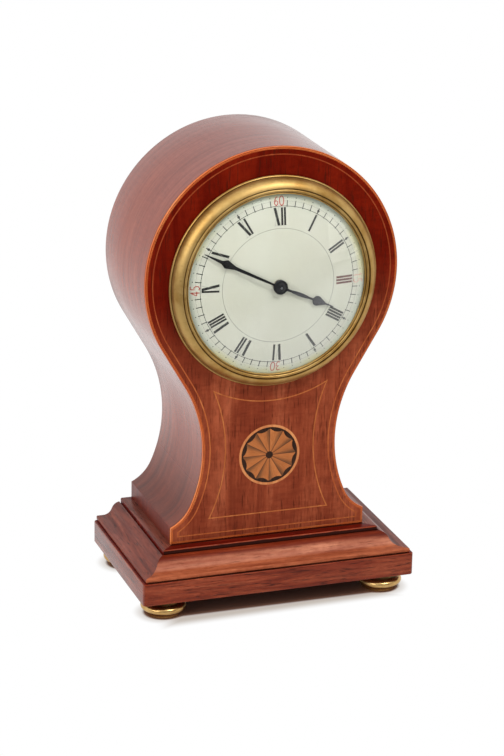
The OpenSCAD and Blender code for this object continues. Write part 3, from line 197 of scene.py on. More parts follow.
woodPattern = {
    "streakLong": 30, "poreLong": 14,
    "patch": (44, 20), "mottle": (420, 210), "ripple": (110, 480),  # across the grain and along it
    "patchShare": 0.65, "relief": (0.12, 0.0004),
}
frontWood = {
    "grain": "z", "figure": 62, "long": 6, "streak": 640, "pore": 1500, "streaks": 0.3, "pores": 0.6,
    "ripple": 0.22, "mottle": 0.45, "gloss": (0.28, 0.42), "sheen": 0.03,
    "dark": (112, 46, 27), "middle": (144, 68, 42), "light": (168, 89, 59), "patch": (114, 46, 27),
    "poreColour": (54, 18, 8),
    # painted shade: the head darker and redder towards the upper left
    "tints": [{"low": 0.125, "high": 0.178, "slope": -0.12, "share": 0.97,
               "dark": (78, 5, 0), "light": (122, 24, 3)}],
}
bandWood = {
    "grain": "u", "figure": 150, "long": 18, "streak": 760, "pore": 1500, "streaks": 0.3, "pores": 0.4,
    "ripple": 0.16, "mottle": 0.4, "gloss": (0.12, 0.22), "sheen": 0.3,
    "dark": (134, 57, 36), "middle": (151, 70, 46), "light": (166, 84, 58), "patch": (132, 54, 36),
    "poreColour": (76, 30, 20),
    # painted shade: the top of the head toned for how the light falls on it
    "tints": [{"low": 0.18, "high": 0.243, "slope": 0.1, "share": 0.8,
               "dark": (114, 60, 52), "light": (146, 86, 76)},
              # darker and duller towards the bottom
              {"low": 0.092, "high": 0.045, "share": 0.9, "rough": 0.42,
               "dark": (66, 26, 16), "light": (128, 60, 42)},
              # painted reflection: a dark strip along the foot of the band
              {"low": 0.043, "high": 0.0416, "share": 0.92, "dark": (84, 14, 0), "light": (120, 36, 0)}],
}
plinthWood = {
    "grain": "x", "figure": 150, "long": 10, "streak": 640, "pore": 1700, "streaks": 0.45, "pores": 0.8,
    "mottle": 0.35, "gloss": (0.2, 0.32), "sheen": 0.14,
    "dark": (90, 28, 14), "middle": (134, 56, 32), "light": (166, 86, 56), "patch": (106, 36, 20),
    "poreColour": (44, 14, 8),
}
plinthSideWood = {**plinthWood, "grain": "y", "sheen": 0.5}
mouldingWood = {
    **plinthWood, "gloss": (0.36, 0.48), "sheen": 0.06, "pores": 0.45, "mottle": 0.5,
    "dark": (84, 22, 8), "middle": (128, 48, 22), "light": (160, 76, 44), "patch": (96, 28, 12),
    # painted highlight: the ogee's hollow paler where it faces the light, and less pale on the fillet below
    "tints": [{"low": 0.0296, "high": 0.0276, "share": 0.92, "dark": (144, 76, 56), "light": (214, 144, 112)},
              {"low": 0.0252, "high": 0.0242, "share": 0.9, "dark": (116, 46, 22), "light": (180, 98, 62)}],
}
mouldingSideWood = {
    **plinthWood, "grain": "y", "gloss": (0.3, 0.42), "sheen": 0.18,
    "dark": (88, 32, 21), "middle": (126, 58, 41), "light": (154, 80, 59), "patch": (102, 40, 28),
}
stepWood = {
    **plinthWood, "sheen": 0.06,
    "dark": (74, 9, 4), "middle": (104, 20, 9), "light": (128, 36, 18), "patch": (80, 12, 6),
}
# painted highlight for the rounded arrises of the slab and the step
arrisHighlightWood = {
    **plinthWood, "sheen": 0.08,
    "dark": (108, 36, 18), "middle": (148, 62, 33), "light": (178, 90, 53), "patch": (122, 44, 22),
}
# the step's ends, their veneer from front to back, painted paler as if lit from the side
paintedLitStepEndWood = {
    **plinthWood, "grain": "y", "sheen": 0.12,
    "dark": (92, 40, 27), "middle": (128, 66, 50), "light": (152, 88, 68), "patch": (104, 46, 32),
}
# painted shade for the ledge under the moulding, the step's riser and its joint with the case
paintedShadeWood = {
    **plinthWood, "sheen": 0.06,
    "dark": (38, 11, 6), "middle": (54, 18, 10), "light": (72, 28, 17), "patch": (44, 13, 7),
}
insideWood = {
    "grain": "z", "figure": 120, "long": 12, "streak": 420, "pore": 1500, "streaks": 0.42, "pores": 0.55,
    "mottle": 0.4, "gloss": (0.4, 0.6), "sheen": 0.2,
    "dark": (76, 34, 22), "middle": (104, 50, 34), "light": (128, 66, 46), "patch": (90, 40, 26),
    "poreColour": (42, 18, 12),
}
lineWood = {
    "grain": "u", "figure": 240, "long": 12, "streak": 700, "pore": 2000, "streaks": 0.3, "pores": 0.5,
    "mottle": 0.2, "gloss": (0.26, 0.4), "sheen": 0.1,
    "dark": (78, 22, 10), "middle": (98, 32, 16), "light": (122, 46, 24), "patch": (88, 26, 12),
    "poreColour": (44, 14, 8),
}
stringWood = {
    "grain": "z", "figure": 300, "long": 12, "streak": 900, "pore": 2400, "streaks": 0.3, "pores": 0.5,
    "mottle": 0.2, "gloss": (0.26, 0.4), "sheen": 0.3,
    "dark": (170, 98, 50), "middle": (196, 124, 70), "light": (216, 150, 92), "patch": (184, 108, 56),
    "poreColour": (130, 72, 34),
}
panelStringWood = {
    **stringWood, "sheen": 0.1,
    "dark": (150, 76, 36), "middle": (176, 101, 52), "light": (198, 127, 74), "patch": (162, 86, 42),
}
innerStringWood = {
    **stringWood, "sheen": 0.1, "poreColour": (104, 44, 20),
    "dark": (144, 66, 30), "middle": (174, 92, 45), "light": (196, 118, 66), "patch": (158, 76, 36),
    # painted shade: darker and redder on the head, as on the front
    "tints": [{"low": 0.125, "high": 0.165, "slope": -0.12, "share": 0.75,
               "dark": (112, 34, 12), "light": (138, 52, 22)}],
}
edgeStringWood = {
    **stringWood, "grain": "u", "sheen": 0.25, "poreColour": (116, 50, 18),
    "dark": (178, 80, 28), "middle": (206, 106, 44), "light": (226, 142, 78), "patch": (188, 84, 30),
}


def grainScale(axis, across, along):
    if axis == "u":
        return (along, across, 1.0)
    return tuple(along if name == axis else across for name in "xyz")


def woodFinish(add, look):
    axis = look["grain"]
    place = add("ShaderNodeUVMap", uv_map="grain").outputs[0] if axis == "u" else objectPlace(add)

    def grainNoise(across, along, detail, roughness, distortion=0.0):
        scaled = mapped(add, place, grainScale(axis, across, along))
        return noise(add, scaled, 1.0, detail, roughness, distortion)

    figure = grainNoise(look["figure"], look["figure"] / look["long"], 7, 0.62, 0.9)
    streak = grainNoise(look["streak"], look["streak"] / woodPattern["streakLong"], 4, 0.55, 0.3)
    pore = grainNoise(look["pore"], look["pore"] / woodPattern["poreLong"], 2, 0.5)
    patch = grainNoise(*woodPattern["patch"], 4, 0.6)
    mottle = grainNoise(*woodPattern["mottle"], 5, 0.7)
    base = ramp(add, figure, [(0.32, look["dark"]), (0.5, look["middle"]), (0.7, look["light"])])
    base = mixed(add, remap(add, mottle, 0.4, 0.68, 0.0, look["mottle"]), base, look["dark"])
    shade = remap(add, streak, 0.3, 0.7, 0.0, look["streaks"])
    base = mixed(add, shade, base, look["dark"], "MULTIPLY")
    base = mixed(add, rise(add, patch, 0.42, 0.68, woodPattern["patchShare"]), base, look["patch"])
    dull = remap(add, streak, 0.3, 0.7, *look["gloss"])
    for paintedTint in map(painted, look.get("tints", ())):
        # tones laid on by height and a lean across: painted shade and highlight, and on the band a darkening
        # towards the bottom
        part = xyz(add, objectPlace(add))
        height = maths(add, "ADD", part["Z"], times(add, part["X"], paintedTint.get("slope", 0.0)))
        paintedTone = ramp(add, figure, [(0.3, paintedTint["dark"]), (0.72, paintedTint["light"])])
        paintedTone = mixed(add, remap(add, mottle, 0.42, 0.66, 0.0, look["mottle"]), paintedTone, paintedTint["dark"])
        share = rise(add, height, paintedTint["low"], paintedTint["high"])
        base = mixed(add, times(add, share, paintedTint["share"]), base, paintedTone)
        if "rough" in paintedTint:
            dull = maths(add, "MAXIMUM", dull, times(add, share, paintedTint["rough"]))
    if "ripple" in look:
        # short waves across the grain, stronger in some places
        wave = rise(add, grainNoise(*woodPattern["ripple"], 4, 0.65), 0.4, 0.66, look["ripple"])
        wave = times(add, wave, remap(add, patch, 0.36, 0.6, 0.25, 1.0, True))
        base = mixed(add, wave, base, look["dark"], "MULTIPLY")
    pores = remap(add, pore, 0.58, 0.7, 0.0, look["pores"])
    return {
        "Base Color": mixed(add, pores, base, look["poreColour"]),
        "Roughness": dull,
        "Normal": bumped(add, maths(add, "SUBTRACT", figure, pores), *woodPattern["relief"]),
        "Specular IOR Level": look["sheen"],
    }


brassPattern = {
    "haze": 70, "spots": 420, "lathe": 3200.0, "brushed": (2600, 300, 2600),
    "hollowShadeReach": (0.2, 0.5), "hollowShadeShare": 0.85, "relief": (0.1, 0.00006),
}
# painted shade in the turned grooves, each a radius and a depth
bezelBrass = {
    "clean": (194, 160, 98), "warm": (161, 120, 57), "tarnish": (104, 71, 30), "gloss": (0.4, 0.5),
    "spots": 0.3, "metal": 0.88, "grime": (94, 63, 28),
    "hollows": [(55.15, -26.7), (50.46, -31.5), (48.52, -31.5)],
}
footBrass = {
    "clean": (214, 180, 122), "warm": (186, 146, 88), "tarnish": (104, 72, 40), "gloss": (0.26, 0.38),
    "spots": 0.35, "soot": (58, 36, 18), "sootFrom": 5.9, "sootTo": 7.0, "sootShare": 0.8,
}
rearBrass = {
    "clean": (188, 156, 100), "warm": (174, 140, 86), "tarnish": (116, 84, 44), "gloss": (0.24, 0.36),
    "spots": 0.3, "grime": (84, 56, 24),
    # painted shade in the door's turned hollows
    "hollows": [(46.0, 42.85), (39.3, 44.0), (35.9, 44.0), (9.2, 44.0)],
}
hingeBrass = {
    "clean": (168, 134, 78), "warm": (146, 112, 62), "tarnish": (96, 66, 34), "gloss": (0.22, 0.34),
    "spots": 0.35,
}
pullBrass = {
    "clean": (222, 190, 128), "warm": (198, 160, 98), "tarnish": (120, 86, 46), "gloss": (0.12, 0.22),
    "spots": 0.25,
}
movementBrass = {
    "clean": (232, 200, 130), "warm": (214, 176, 106), "tarnish": (150, 112, 62), "gloss": (0.24, 0.4),
    "spots": 0.3,
}


def aboutDial(add):
    return mapped(add, objectPlace(add), location=(0, 0, -dialPlace["z"] * mm))


def brassFinish(add, look):
    place = objectPlace(add)
    haze = noise(add, place, brassPattern["haze"], 5, 0.6)
    spots = noise(add, place, brassPattern["spots"], 3, 0.6)
    base = ramp(add, haze, [(0.35, look["warm"]), (0.62, look["clean"])])
    base = mixed(add, remap(add, spots, 0.6, 0.76, 0.0, look["spots"]), base, look["tarnish"])
    if "hollows" in look:
        # lathe lines run round the piece
        radius = radiusOf(add, aboutDial(add))
        lines = noise(add, joined(add, {0: times(add, radius, brassPattern["lathe"])}), detail=2)
        depth = xyz(add, place)["Y"]
        near, far = brassPattern["hollowShadeReach"]
        # painted shade darkens the colour near each hollow
        for hollowR, hollowY in look["hollows"]:
            away = maths(add, "MAXIMUM", apart(add, radius, hollowR * mm), apart(add, depth, hollowY * mm))
            grime = remap(add, away, near * mm, far * mm, brassPattern["hollowShadeShare"], 0.0, True)
            base = mixed(add, grime, base, look["grime"])
    else:
        lines = noise(add, mapped(add, place, brassPattern["brushed"]), detail=2)
    if "soot" in look:
        # painted shade and dark reflection in the hollow above the rim
        height = xyz(add, place)["Z"]
        soot = rise(add, height, look["sootFrom"] * mm, look["sootTo"] * mm, look["sootShare"])
        base = mixed(add, soot, base, look["soot"])
    return {
        "Base Color": base,
        "Metallic": look.get("metal", 1.0),
        "Roughness": remap(add, haze, 0.3, 0.7, *look["gloss"]),
        "Normal": bumped(add, lines, *brassPattern["relief"]),
    }


polishedSteel = {"clean": (190, 193, 197), "grey": (140, 144, 150), "gloss": (0.2, 0.36), "metal": 1.0}
bluedSteel = {"clean": (16, 16, 19), "grey": (34, 34, 39), "gloss": (0.22, 0.38), "metal": 0.75}
# blued steel painted lighter grey for the hour hand, a painted reflection
paintedReflectionSteel = {"clean": (56, 56, 62), "grey": (88, 87, 94), "gloss": (0.26, 0.4), "metal": 0.75}


def steelFinish(add, look):
    place = objectPlace(add)
    haze = noise(add, place, 160, 5, 0.6)
    lines = noise(add, mapped(add, place, (2400, 240, 2400)), detail=2)
    return {
        "Base Color": ramp(add, haze, [(0.36, look["clean"]), (0.66, look["grey"])]),
        "Metallic": look["metal"],
        "Roughness": remap(add, haze, 0.3, 0.7, *look["gloss"]),
        "Normal": bumped(add, lines, 0.08, 0.00005),
    }


ebonyLook = {"dark": (30, 16, 9), "light": (54, 32, 20), "gloss": (0.3, 0.46), "sheen": 0.12}


def ebonyFinish(add, look):
    streak = noise(add, mapped(add, objectPlace(add), (900, 900, 60)))
    return {
        "Base Color": ramp(add, streak, [(0.3, look["dark"]), (0.7, look["light"])]),
        "Roughness": remap(add, streak, 0.3, 0.7, *look["gloss"]),
        "Normal": bumped(add, streak, 0.08, 0.0002),
        "Specular IOR Level": look["sheen"],
    }


enamelLook = {
    "white": (194, 194, 183), "warm": (189, 188, 174), "stain": (169, 167, 151), "stainShare": 0.4,
    # painted shade for the margin under the bezel's lip, in the rim colour
    "rim": (172, 181, 168), "rimFrom": 43.4, "rimTo": 47.4, "rimShare": 0.8,
    "age": (196, 190, 138), "ageFrom": 43.0, "ageTo": 46.6, "ageShare": 0.75,
    "gloss": (0.16, 0.26), "sheen": 0.3,
}


def enamelFinish(add, look):
    place = aboutDial(add)
    cloud = noise(add, place, 26, 4, 0.55)
    speck = noise(add, place, 900, 2)
    base = ramp(add, cloud, [(0.35, look["white"]), (0.7, look["warm"])])
    base = mixed(add, remap(add, speck, 0.7, 0.8, 0.0, look["stainShare"]), base, look["stain"])
    # painted shade: the margin outside the minutes is greyer, under the bezel's lip
    radius = radiusOf(add, place)
    rim = rise(add, radius, look["rimFrom"] * mm, look["rimTo"] * mm, look["rimShare"])
    base = mixed(add, rim, base, look["rim"])
    # patches of it have yellowed
    old = rise(add, noise(add, place, 34, 2), 0.46, 0.62, look["ageShare"])
    old = times(add, old, rise(add, radius, look["ageFrom"] * mm, look["ageTo"] * mm))
    return {
        "Base Color": mixed(add, old, base, look["age"]),
        "Roughness": remap(add, cloud, 0.3, 0.7, *look["gloss"]),
        "Normal": bumped(add, cloud, 0.05, 0.0006),
        "Specular IOR Level": look["sheen"],
    }


def inkFinish(add, look):
    wear = noise(add, objectPlace(add), 700, 4, 0.65)
    return {
        "Base Color": ramp(add, wear, [(0.42, look["full"]), (0.74, look["worn"])]),
        "Roughness": remap(add, wear, 0.3, 0.7, 0.35, 0.5),
        "Normal": bumped(add, wear, 0.05, 0.00005),
    }


glassLook = {
    "smeared": (249, 251, 247), "wiped": (253, 254, 252), "gloss": (0.0, 0.02), "bend": 1.5,
    "letsThrough": (0.97, 0.97, 0.96, 1.0),
}


def glassFinish(add, look):
    smear = noise(add, objectPlace(add), 38, 3)
    # light passes to the dial without the glass holding it back
    clear = add("ShaderNodeBsdfTransparent", {"Color": look["letsThrough"]}).outputs[0]
    return {
        "Base Color": ramp(add, smear, [(0.3, look["smeared"]), (0.7, look["wiped"])]),
        "Roughness": remap(add, smear, 0.4, 0.75, *look["gloss"]),
        "Transmission Weight": 1.0,
        "IOR": look["bend"],
        "blend": (add("ShaderNodeLightPath").outputs["Is Shadow Ray"], clear),
    }


petalLook = {
    "dark": (146, 80, 36), "middle": (174, 102, 51), "light": (194, 124, 71), "burnt": (78, 50, 28),
    "glue": (72, 36, 18), "glueWide": (0.1, 0.5), "grainTurn": 24.0, "grainOut": 260.0, "slip": 0.73,
    "gloss": (0.28, 0.42), "sheen": 0.2,
}


def petalFinish(add, look):
    # colour runs across each petal, darkest at the side that was dipped in hot sand
    place = mapped(add, objectPlace(add), location=(0, 0, -pateraPlace["z"] * mm))
    part = xyz(add, place)
    radius = radiusOf(add, place)
    angle = maths(add, "ARCTAN2", part["Z"], part["X"])
    turns = times(add, angle, pateraPlace["petals"] / (2 * math.pi))
    counted = maths(add, "ADD", turns, float(pateraPlace["petals"]))
    turn = maths(add, "FRACT", counted)
    rings = joined(add, {0: times(add, turns, look["grainTurn"]), 1: times(add, radius, look["grainOut"])})
    grain = noise(add, rings, 1.0, 4, 0.6)
    base = ramp(add, grain, [(0.3, look["dark"]), (0.5, look["middle"]), (0.7, look["light"])])
    # each petal is from its own slip of veneer
    slip = times(add, maths(add, "FLOOR", counted), look["slip"])
    tone = noise(add, joined(add, {0: slip}), detail=2)
    base = mixed(add, remap(add, tone, 0.35, 0.65, 0.0, 0.7), base, look["dark"])
    if look["shaded"]:
        burn = remap(add, turn, 0.02, 0.5, 0.96, 0.12, True)
        burn = times(add, burn, remap(add, radius, 2 * mm, 11 * mm, 0.6, 1.0))
        burn = times(add, burn, remap(add, tone, 0.35, 0.65, 0.7, 1.0))
    else:
        burn = remap(add, turn, 0.5, 0.75, 0.12, 0.0, True)
    base = mixed(add, burn, base, look["burnt"])
    # a dark glue line where two petals meet
    edge = times(add, maths(add, "MINIMUM", turn, maths(add, "SUBTRACT", 1.0, turn)), radius)
    thin, wide = look["glueWide"]
    glue = remap(add, edge, thin * mm, wide * mm, 0.9, 0.0, True)
    return {
        "Base Color": mixed(add, glue, base, look["glue"]),
        "Roughness": remap(add, grain, 0.3, 0.7, *look["gloss"]),
        "Normal": bumped(add, grain, 0.08, 0.0002),
        "Specular IOR Level": look["sheen"],
    }


finish = {}
for build, looks in (
        (woodFinish, {
            "front": ("frontMahogany", frontWood), "band": ("bandMahogany", bandWood),
            "plinth": ("plinthMahogany", plinthWood), "plinthSide": ("plinthSideMahogany", plinthSideWood),
            "moulding": ("mouldingMahogany", mouldingWood),
            "mouldingSide": ("mouldingSideMahogany", mouldingSideWood),
            "inside": ("insideMahogany", insideWood), "step": ("stepMahogany", stepWood),
            "stepEdge": ("arrisHighlightMahogany", arrisHighlightWood), "stepEnd": ("paintedLitStepEndMahogany", paintedLitStepEndWood),
            "groove": ("paintedShadeMahogany", paintedShadeWood), "line": ("lineMahogany", lineWood),
            "string": ("stringBoxwood", stringWood), "panelString": ("panelBoxwood", panelStringWood),
            "innerString": ("innerBoxwood", innerStringWood), "edgeString": ("edgeBoxwood", edgeStringWood)}),
        (petalFinish, {"petal": ("petalBoxwood", {**petalLook, "shaded": False}),
                       "shaded": ("petalSandShaded", {**petalLook, "shaded": True})}),
        (ebonyFinish, {"ebony": ("ebony", ebonyLook)}),
        (brassFinish, {
            "bezel": ("bezelBrass", bezelBrass), "foot": ("footBrass", footBrass),
            "brass": ("rearBrass", rearBrass), "hinge": ("hingeBrass", hingeBrass),
            "pull": ("pullBrass", pullBrass), "movement": ("movementBrass", movementBrass)}),
        (steelFinish, {"steel": ("polishedSteel", polishedSteel), "blued": ("bluedSteel", bluedSteel),
                       "worn": ("paintedReflectionSteel", paintedReflectionSteel)}),
        (enamelFinish, {"enamel": ("dialEnamel", enamelLook)}),
        (inkFinish, {
            "black": ("dialBlack", {"full": (8, 8, 9), "worn": (38, 38, 39)}),
            "brown": ("dialBrown", {"full": (84, 40, 36), "worn": (122, 78, 72)}),
            "hair": ("dialHairline", {"full": (120, 122, 118), "worn": (166, 168, 160)}),
            "red": ("dialRed", {"full": (164, 58, 48), "worn": (192, 110, 98)}),
            "faded": ("dialFadedRed", {"full": (188, 134, 118), "worn": (202, 170, 156)}),
            "grey": ("dialGrey", {"full": (116, 118, 112), "worn": (150, 152, 146)}),
            "track": ("dialTrack", {"full": (40, 42, 42), "worn": (92, 94, 90)})}),
        (glassFinish, {"glass": ("dialGlass", glassLook)})):
    for key, (name, look) in looks.items():
        finish[key] = makeMaterial(name, build, look)
print("finishes made:", len(finish))


# small tools for meshes, sizes in millimetres

meshRules = {"merge": 1e-7, "sharp": 35.0}


def spaced(start, end, steps):
    return [start + (end - start) * k / steps for k in range(steps + 1)]


def arc(centreX, centreY, radius, start, end, steps):
    turns = [math.radians(angle) for angle in spaced(start, end, steps)]
    return [(centreX + radius * math.cos(turn), centreY + radius * math.sin(turn)) for turn in turns]


def traced(steps, height=0.0):
    # a profile from lists of points and from arcs, which are tuples, all raised by a height
    points = []
    for step in steps:
        points += arc(*step) if isinstance(step, tuple) else step
    return [(across, height + up) for across, up in points]


def roundedEdge(radius, edge, sign, steps=4):
    # a quarter round, as distances in and heights, that ends level with the edge
    turns = [math.radians(angle) for angle in spaced(0, 90, steps)]
    return [(radius - radius * math.cos(turn), edge - sign * radius + sign * radius * math.sin(turn))
            for turn in turns]


def tidyMesh(mesh, merge=True):
    work = bmesh.new()
    work.from_mesh(mesh)
    if merge:
        bmesh.ops.remove_doubles(work, verts=work.verts, dist=meshRules["merge"])
    bmesh.ops.recalc_face_normals(work, faces=work.faces)
    work.to_mesh(mesh)
    work.free()
    mesh.shade_smooth()
    mesh.set_sharp_from_angle(angle=math.radians(meshRules["sharp"]))
    return mesh


def meshOf(vertices, faces):
    mesh = bpy.data.meshes.new("shape")
    mesh.from_pydata([Vector(vertex) * mm for vertex in vertices], [], faces)
    return mesh


def addPiece(name, mesh, material, body="case", stands=()):
    mesh.name = name
    mesh.materials.clear()
    mesh.materials.append(finish[material])
    piece = bpy.data.objects.new(name, mesh)
    scene.collection.objects.link(piece)
    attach(piece, body)
    if stands:
        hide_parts(*stands)
    return piece


def makerOf(data):
    maker = bpy.data.objects.new("maker", data)
    scene.collection.objects.link(maker)
    return maker


def bakedMesh(maker):
    # a modifier's or a curve's result as a plain mesh, and the maker goes
    bpy.context.view_layer.update()
    graph = bpy.context.evaluated_depsgraph_get()
    mesh = bpy.data.meshes.new_from_object(maker.evaluated_get(graph), depsgraph=graph)
    bpy.data.objects.remove(maker)
    return mesh


def turnedMesh(profile, place, upright=False, steps=128, wrap=False):
    # a profile of radius and height, turned about an axis that runs forwards, or up
    count = len(profile)
    vertices, faces = [], []
    for k in range(steps):
        turn = 2 * math.pi * k / steps
        for radius, height in profile:
            across, out = radius * math.cos(turn), radius * math.sin(turn)
            spot = (across, out, height) if upright else (across, -height, out)
            vertices.append(Vector(place) + Vector(spot))
        here, there = k * count, (k + 1) % steps * count
        for i in range(count if wrap else count - 1):
            j = (i + 1) % count
            faces.append((here + i, here + j, there + j, there + i))
    return tidyMesh(meshOf(vertices, faces))


def ringsMesh(rings, wrap=False, caps=False):
    # closed loops of equal length, joined one to the next; grain runs along the loops
    count, total = len(rings[0]), len(rings)
    vertices = [point for ring in rings for point in ring]
    along, across = [0.0], [0.0]
    for k in range(count):
        along.append(along[-1] + (Vector(rings[0][(k + 1) % count]) - Vector(rings[0][k])).length * mm)
    for k in range(total):
        step = (Vector(rings[(k + 1) % total][count // 2]) - Vector(rings[k][count // 2])).length
        across.append(across[-1] + step * mm)
    faces, grain = [], []
    for i in range(total if wrap else total - 1):
        here, there = i * count, (i + 1) % total * count
        for k in range(count):
            j = (k + 1) % count
            faces.append((here + k, here + j, there + j, there + k))
            grain += [(along[k], across[i]), (along[k + 1], across[i]),
                      (along[k + 1], across[i + 1]), (along[k], across[i + 1])]
    if caps:
        for end in (0, total - 1):
            faces.append(tuple(end * count + k for k in range(count)))
            grain += [(along[k], across[end]) for k in range(count)]
    mesh = meshOf(vertices, faces)
    layer = mesh.uv_layers.new(name="grain")
    layer.data.foreach_set("uv", [value for pair in grain for value in pair])
    return tidyMesh(mesh)


# case: round head, straight flanks, hollow waist and tighter toes

caseShape = {
    "halfWidth": 53.8, "bottom": 33.2, "front": -25.0, "back": 46.7, "wall": 7.0, "boardBack": -17.0,
    "headR": 68.5, "waistHalf": 36.7, "waistR": 72.5, "waistZ": 82.6, "flank": 24.0,
    "toeR": 22.0, "toeAngle": 24.0, "toeSteps": 14, "waistSteps": 36, "flankSteps": 6, "headSteps": 72,
    "holeSteps": 96,
}


def caseOutline(inset):
    headR, waistR, waistZ, toeR = (caseShape[key] for key in ("headR", "waistR", "waistZ", "toeR"))
    waistX = caseShape["waistHalf"] + waistR
    span = math.hypot(headR + waistR, caseShape["flank"])
    headZ = waistZ + math.sqrt(span ** 2 - waistX ** 2)
    lean = math.degrees(math.atan2(waistZ - headZ, waistX) + math.acos((headR + waistR) / span))
    toeTurn = math.radians(caseShape["toeAngle"])
    toeX = waistX - (waistR - toeR) * math.cos(toeTurn)
    toeZ = waistZ - (waistR - toeR) * math.sin(toeTurn)
    sideX, bottomZ = caseShape["halfWidth"] - inset, caseShape["bottom"] + inset
    earZ = toeZ - math.sqrt((toeR + inset) ** 2 - (toeX - sideX) ** 2)
    ear = math.degrees(math.atan2(earZ - toeZ, sideX - toeX)) % 360
    toeEnd = 180 + caseShape["toeAngle"]
    right = [(sideX, bottomZ), (sideX, (bottomZ + earZ) / 2)]
    right += arc(toeX, toeZ, toeR + inset, ear, toeEnd, caseShape["toeSteps"])
    right += arc(waistX, waistZ, waistR + inset, toeEnd, 180 + lean, caseShape["waistSteps"])[1:]
    headArc = arc(0, headZ, headR - inset, lean, 90, caseShape["headSteps"])
    (startX, startZ), (endX, endZ) = right[-1], headArc[0]
    flankX = spaced(startX, endX, caseShape["flankSteps"])
    flankZ = spaced(startZ, endZ, caseShape["flankSteps"])
    right += list(zip(flankX, flankZ))[1:-1] + headArc
    return right + [(-x, z) for x, z in right[-2::-1]]


def outlineRings(section):
    return [[(x, y, z) for x, z in caseOutline(inset)] for inset, y in section]


def boardMesh(loops, face, depth):
    curve = bpy.data.curves.new("board", "CURVE")
    curve.dimensions = "2D"
    curve.fill_mode = "BOTH"
    curve.extrude = depth / 2 * mm
    for loop in loops:
        spline = curve.splines.new("POLY")
        spline.points.add(len(loop) - 1)
        spline.use_cyclic_u = True
        spline.points.foreach_set("co", [n for x, z in loop for n in (x * mm, z * mm, 0, 1)])
    mesh = bakedMesh(makerOf(curve))
    stand = Matrix.Rotation(math.radians(90), 4, "X")
    mesh.transform(Matrix.Translation((0, (face + depth / 2) * mm, 0)) @ stand)
    return tidyMesh(mesh)


front = {"inset": 0.3, "face": -24.97}
boardBack = caseShape["boardBack"]
hole = arc(0, dialPlace["z"], dialPlace["hole"], 0, 360, caseShape["holeSteps"])[:-1]
board = boardMesh([caseOutline(front["inset"]), hole], front["face"], boardBack - front["face"])
addPiece("frontBoard", board, "front", stands=["front_board"])

side = {"lip": -23.2, "cuts": (-4, 18), "round": 1.0, "ease": 0.4}
back, wall = caseShape["back"], caseShape["wall"]
bandSection = [(0, y) for y in (side["lip"], *side["cuts"])] + roundedEdge(side["round"], back, 1)
bandSection += [(wall - side["ease"], back), (wall, back - side["ease"]), (wall, boardBack),
                (front["inset"], boardBack), (front["inset"], side["lip"])]
band = ringsMesh(outlineRings(bandSection), wrap=True)
addPiece("caseBand", band, "band", stands=["case_band"])

edging = {"width": 1.4, "round": 0.7, "ease": 0.12, "line": (0.92, 1.12), "proud": 0.006, "sunk": -24.4}
caseFront, edgeWide, edgeEase = caseShape["front"], edging["width"], edging["ease"]
edgeSection = [(0, caseFront + edgeWide)] + roundedEdge(edging["round"], caseFront, -1)
edgeSection += [(edgeWide - edgeEase, caseFront), (edgeWide, caseFront + edgeEase),
                (edgeWide, caseFront + edgeWide)]
edgeString = ringsMesh(outlineRings(edgeSection), wrap=True)
addPiece("edgeString", edgeString, "edgeString", stands=["edge_stringing"])

lineOut, lineIn = edging["line"]
lineTop = caseFront - edging["proud"]
lineSection = [(lineOut, lineTop), (lineIn, lineTop), (lineIn, edging["sunk"]), (lineOut, edging["sunk"])]
addPiece("edgeLine", ringsMesh(outlineRings(lineSection), wrap=True), "line")
print("case made")


# plinth: slab, mitred mouldings and step

plinth = {
    "halfX": 75.0, "halfY": 46.7, "bottom": 9.5, "slabTop": 21.8, "top": 33.2, "corner": 2.0, "edge": 0.6,
    "set": 1.7, "fillet": 2.2, "flat": 3.7, "ogeeRun": 9.8, "ogeeRise": 7.0, "soft": 0.45, "mitre": 0.04,
    "quirkWide": 0.7, "quirkDeep": 1.0, "quirkLean": 0.1, "quirkDrop": 0.04,
    "stepCorner": 0.6, "stepRound": 0.9, "stepCut": 4.0, "joint": 1.4, "jointReach": 0.5, "leastCorner": 0.1,
}
# how far a face has to look one way to count as an end, a level top, an arris or a riser
facing = {"end": 0.7, "level": 0.97, "arris": 0.2, "riser": 0.9}
run = plinth["set"] + plinth["flat"] + plinth["ogeeRun"]  # from the slab's edge to the step


def roundedRectangle(halfX, frontY, backY, radius, steps=6):
    points = []
    for x, y, start in ((halfX, backY, 0), (-halfX, backY, 90), (-halfX, frontY, 180), (halfX, frontY, 270)):
        middleX = x - math.copysign(radius, x)
        middleY = y - radius if start < 180 else y + radius
        points += arc(middleX, middleY, radius, start, start + 90, steps)
    return points


def roundedBlock(halfX, frontY, backY, corner, section):
    rings = []
    for inset, z in section:
        radius = max(corner - inset, plinth["leastCorner"])
        loop = roundedRectangle(halfX - inset, frontY + inset, backY - inset, radius)
        rings.append([(x, y, z) for x, y in loop])
    return ringsMesh(rings, caps=True)


def dress(mesh, names, choose):
    # more finishes on one mesh, chosen for each face by its normal and its middle
    for name in names[1:]:
        mesh.materials.append(finish[name])
    for polygon in mesh.polygons:
        polygon.material_index = names.index(choose(polygon.normal, polygon.center / mm))


def slabFinish(normal, middle):
    # the veneer on the ends runs from front to back; the ledge takes painted shade and its arris a painted
    # highlight
    if abs(normal.x) > facing["end"]:
        return "plinthSide"
    if normal.z > facing["level"]:
        return "step" if abs(middle.x) > plinth["halfX"] - run else "groove"
    return "stepEdge" if normal.z > facing["arris"] else "plinth"


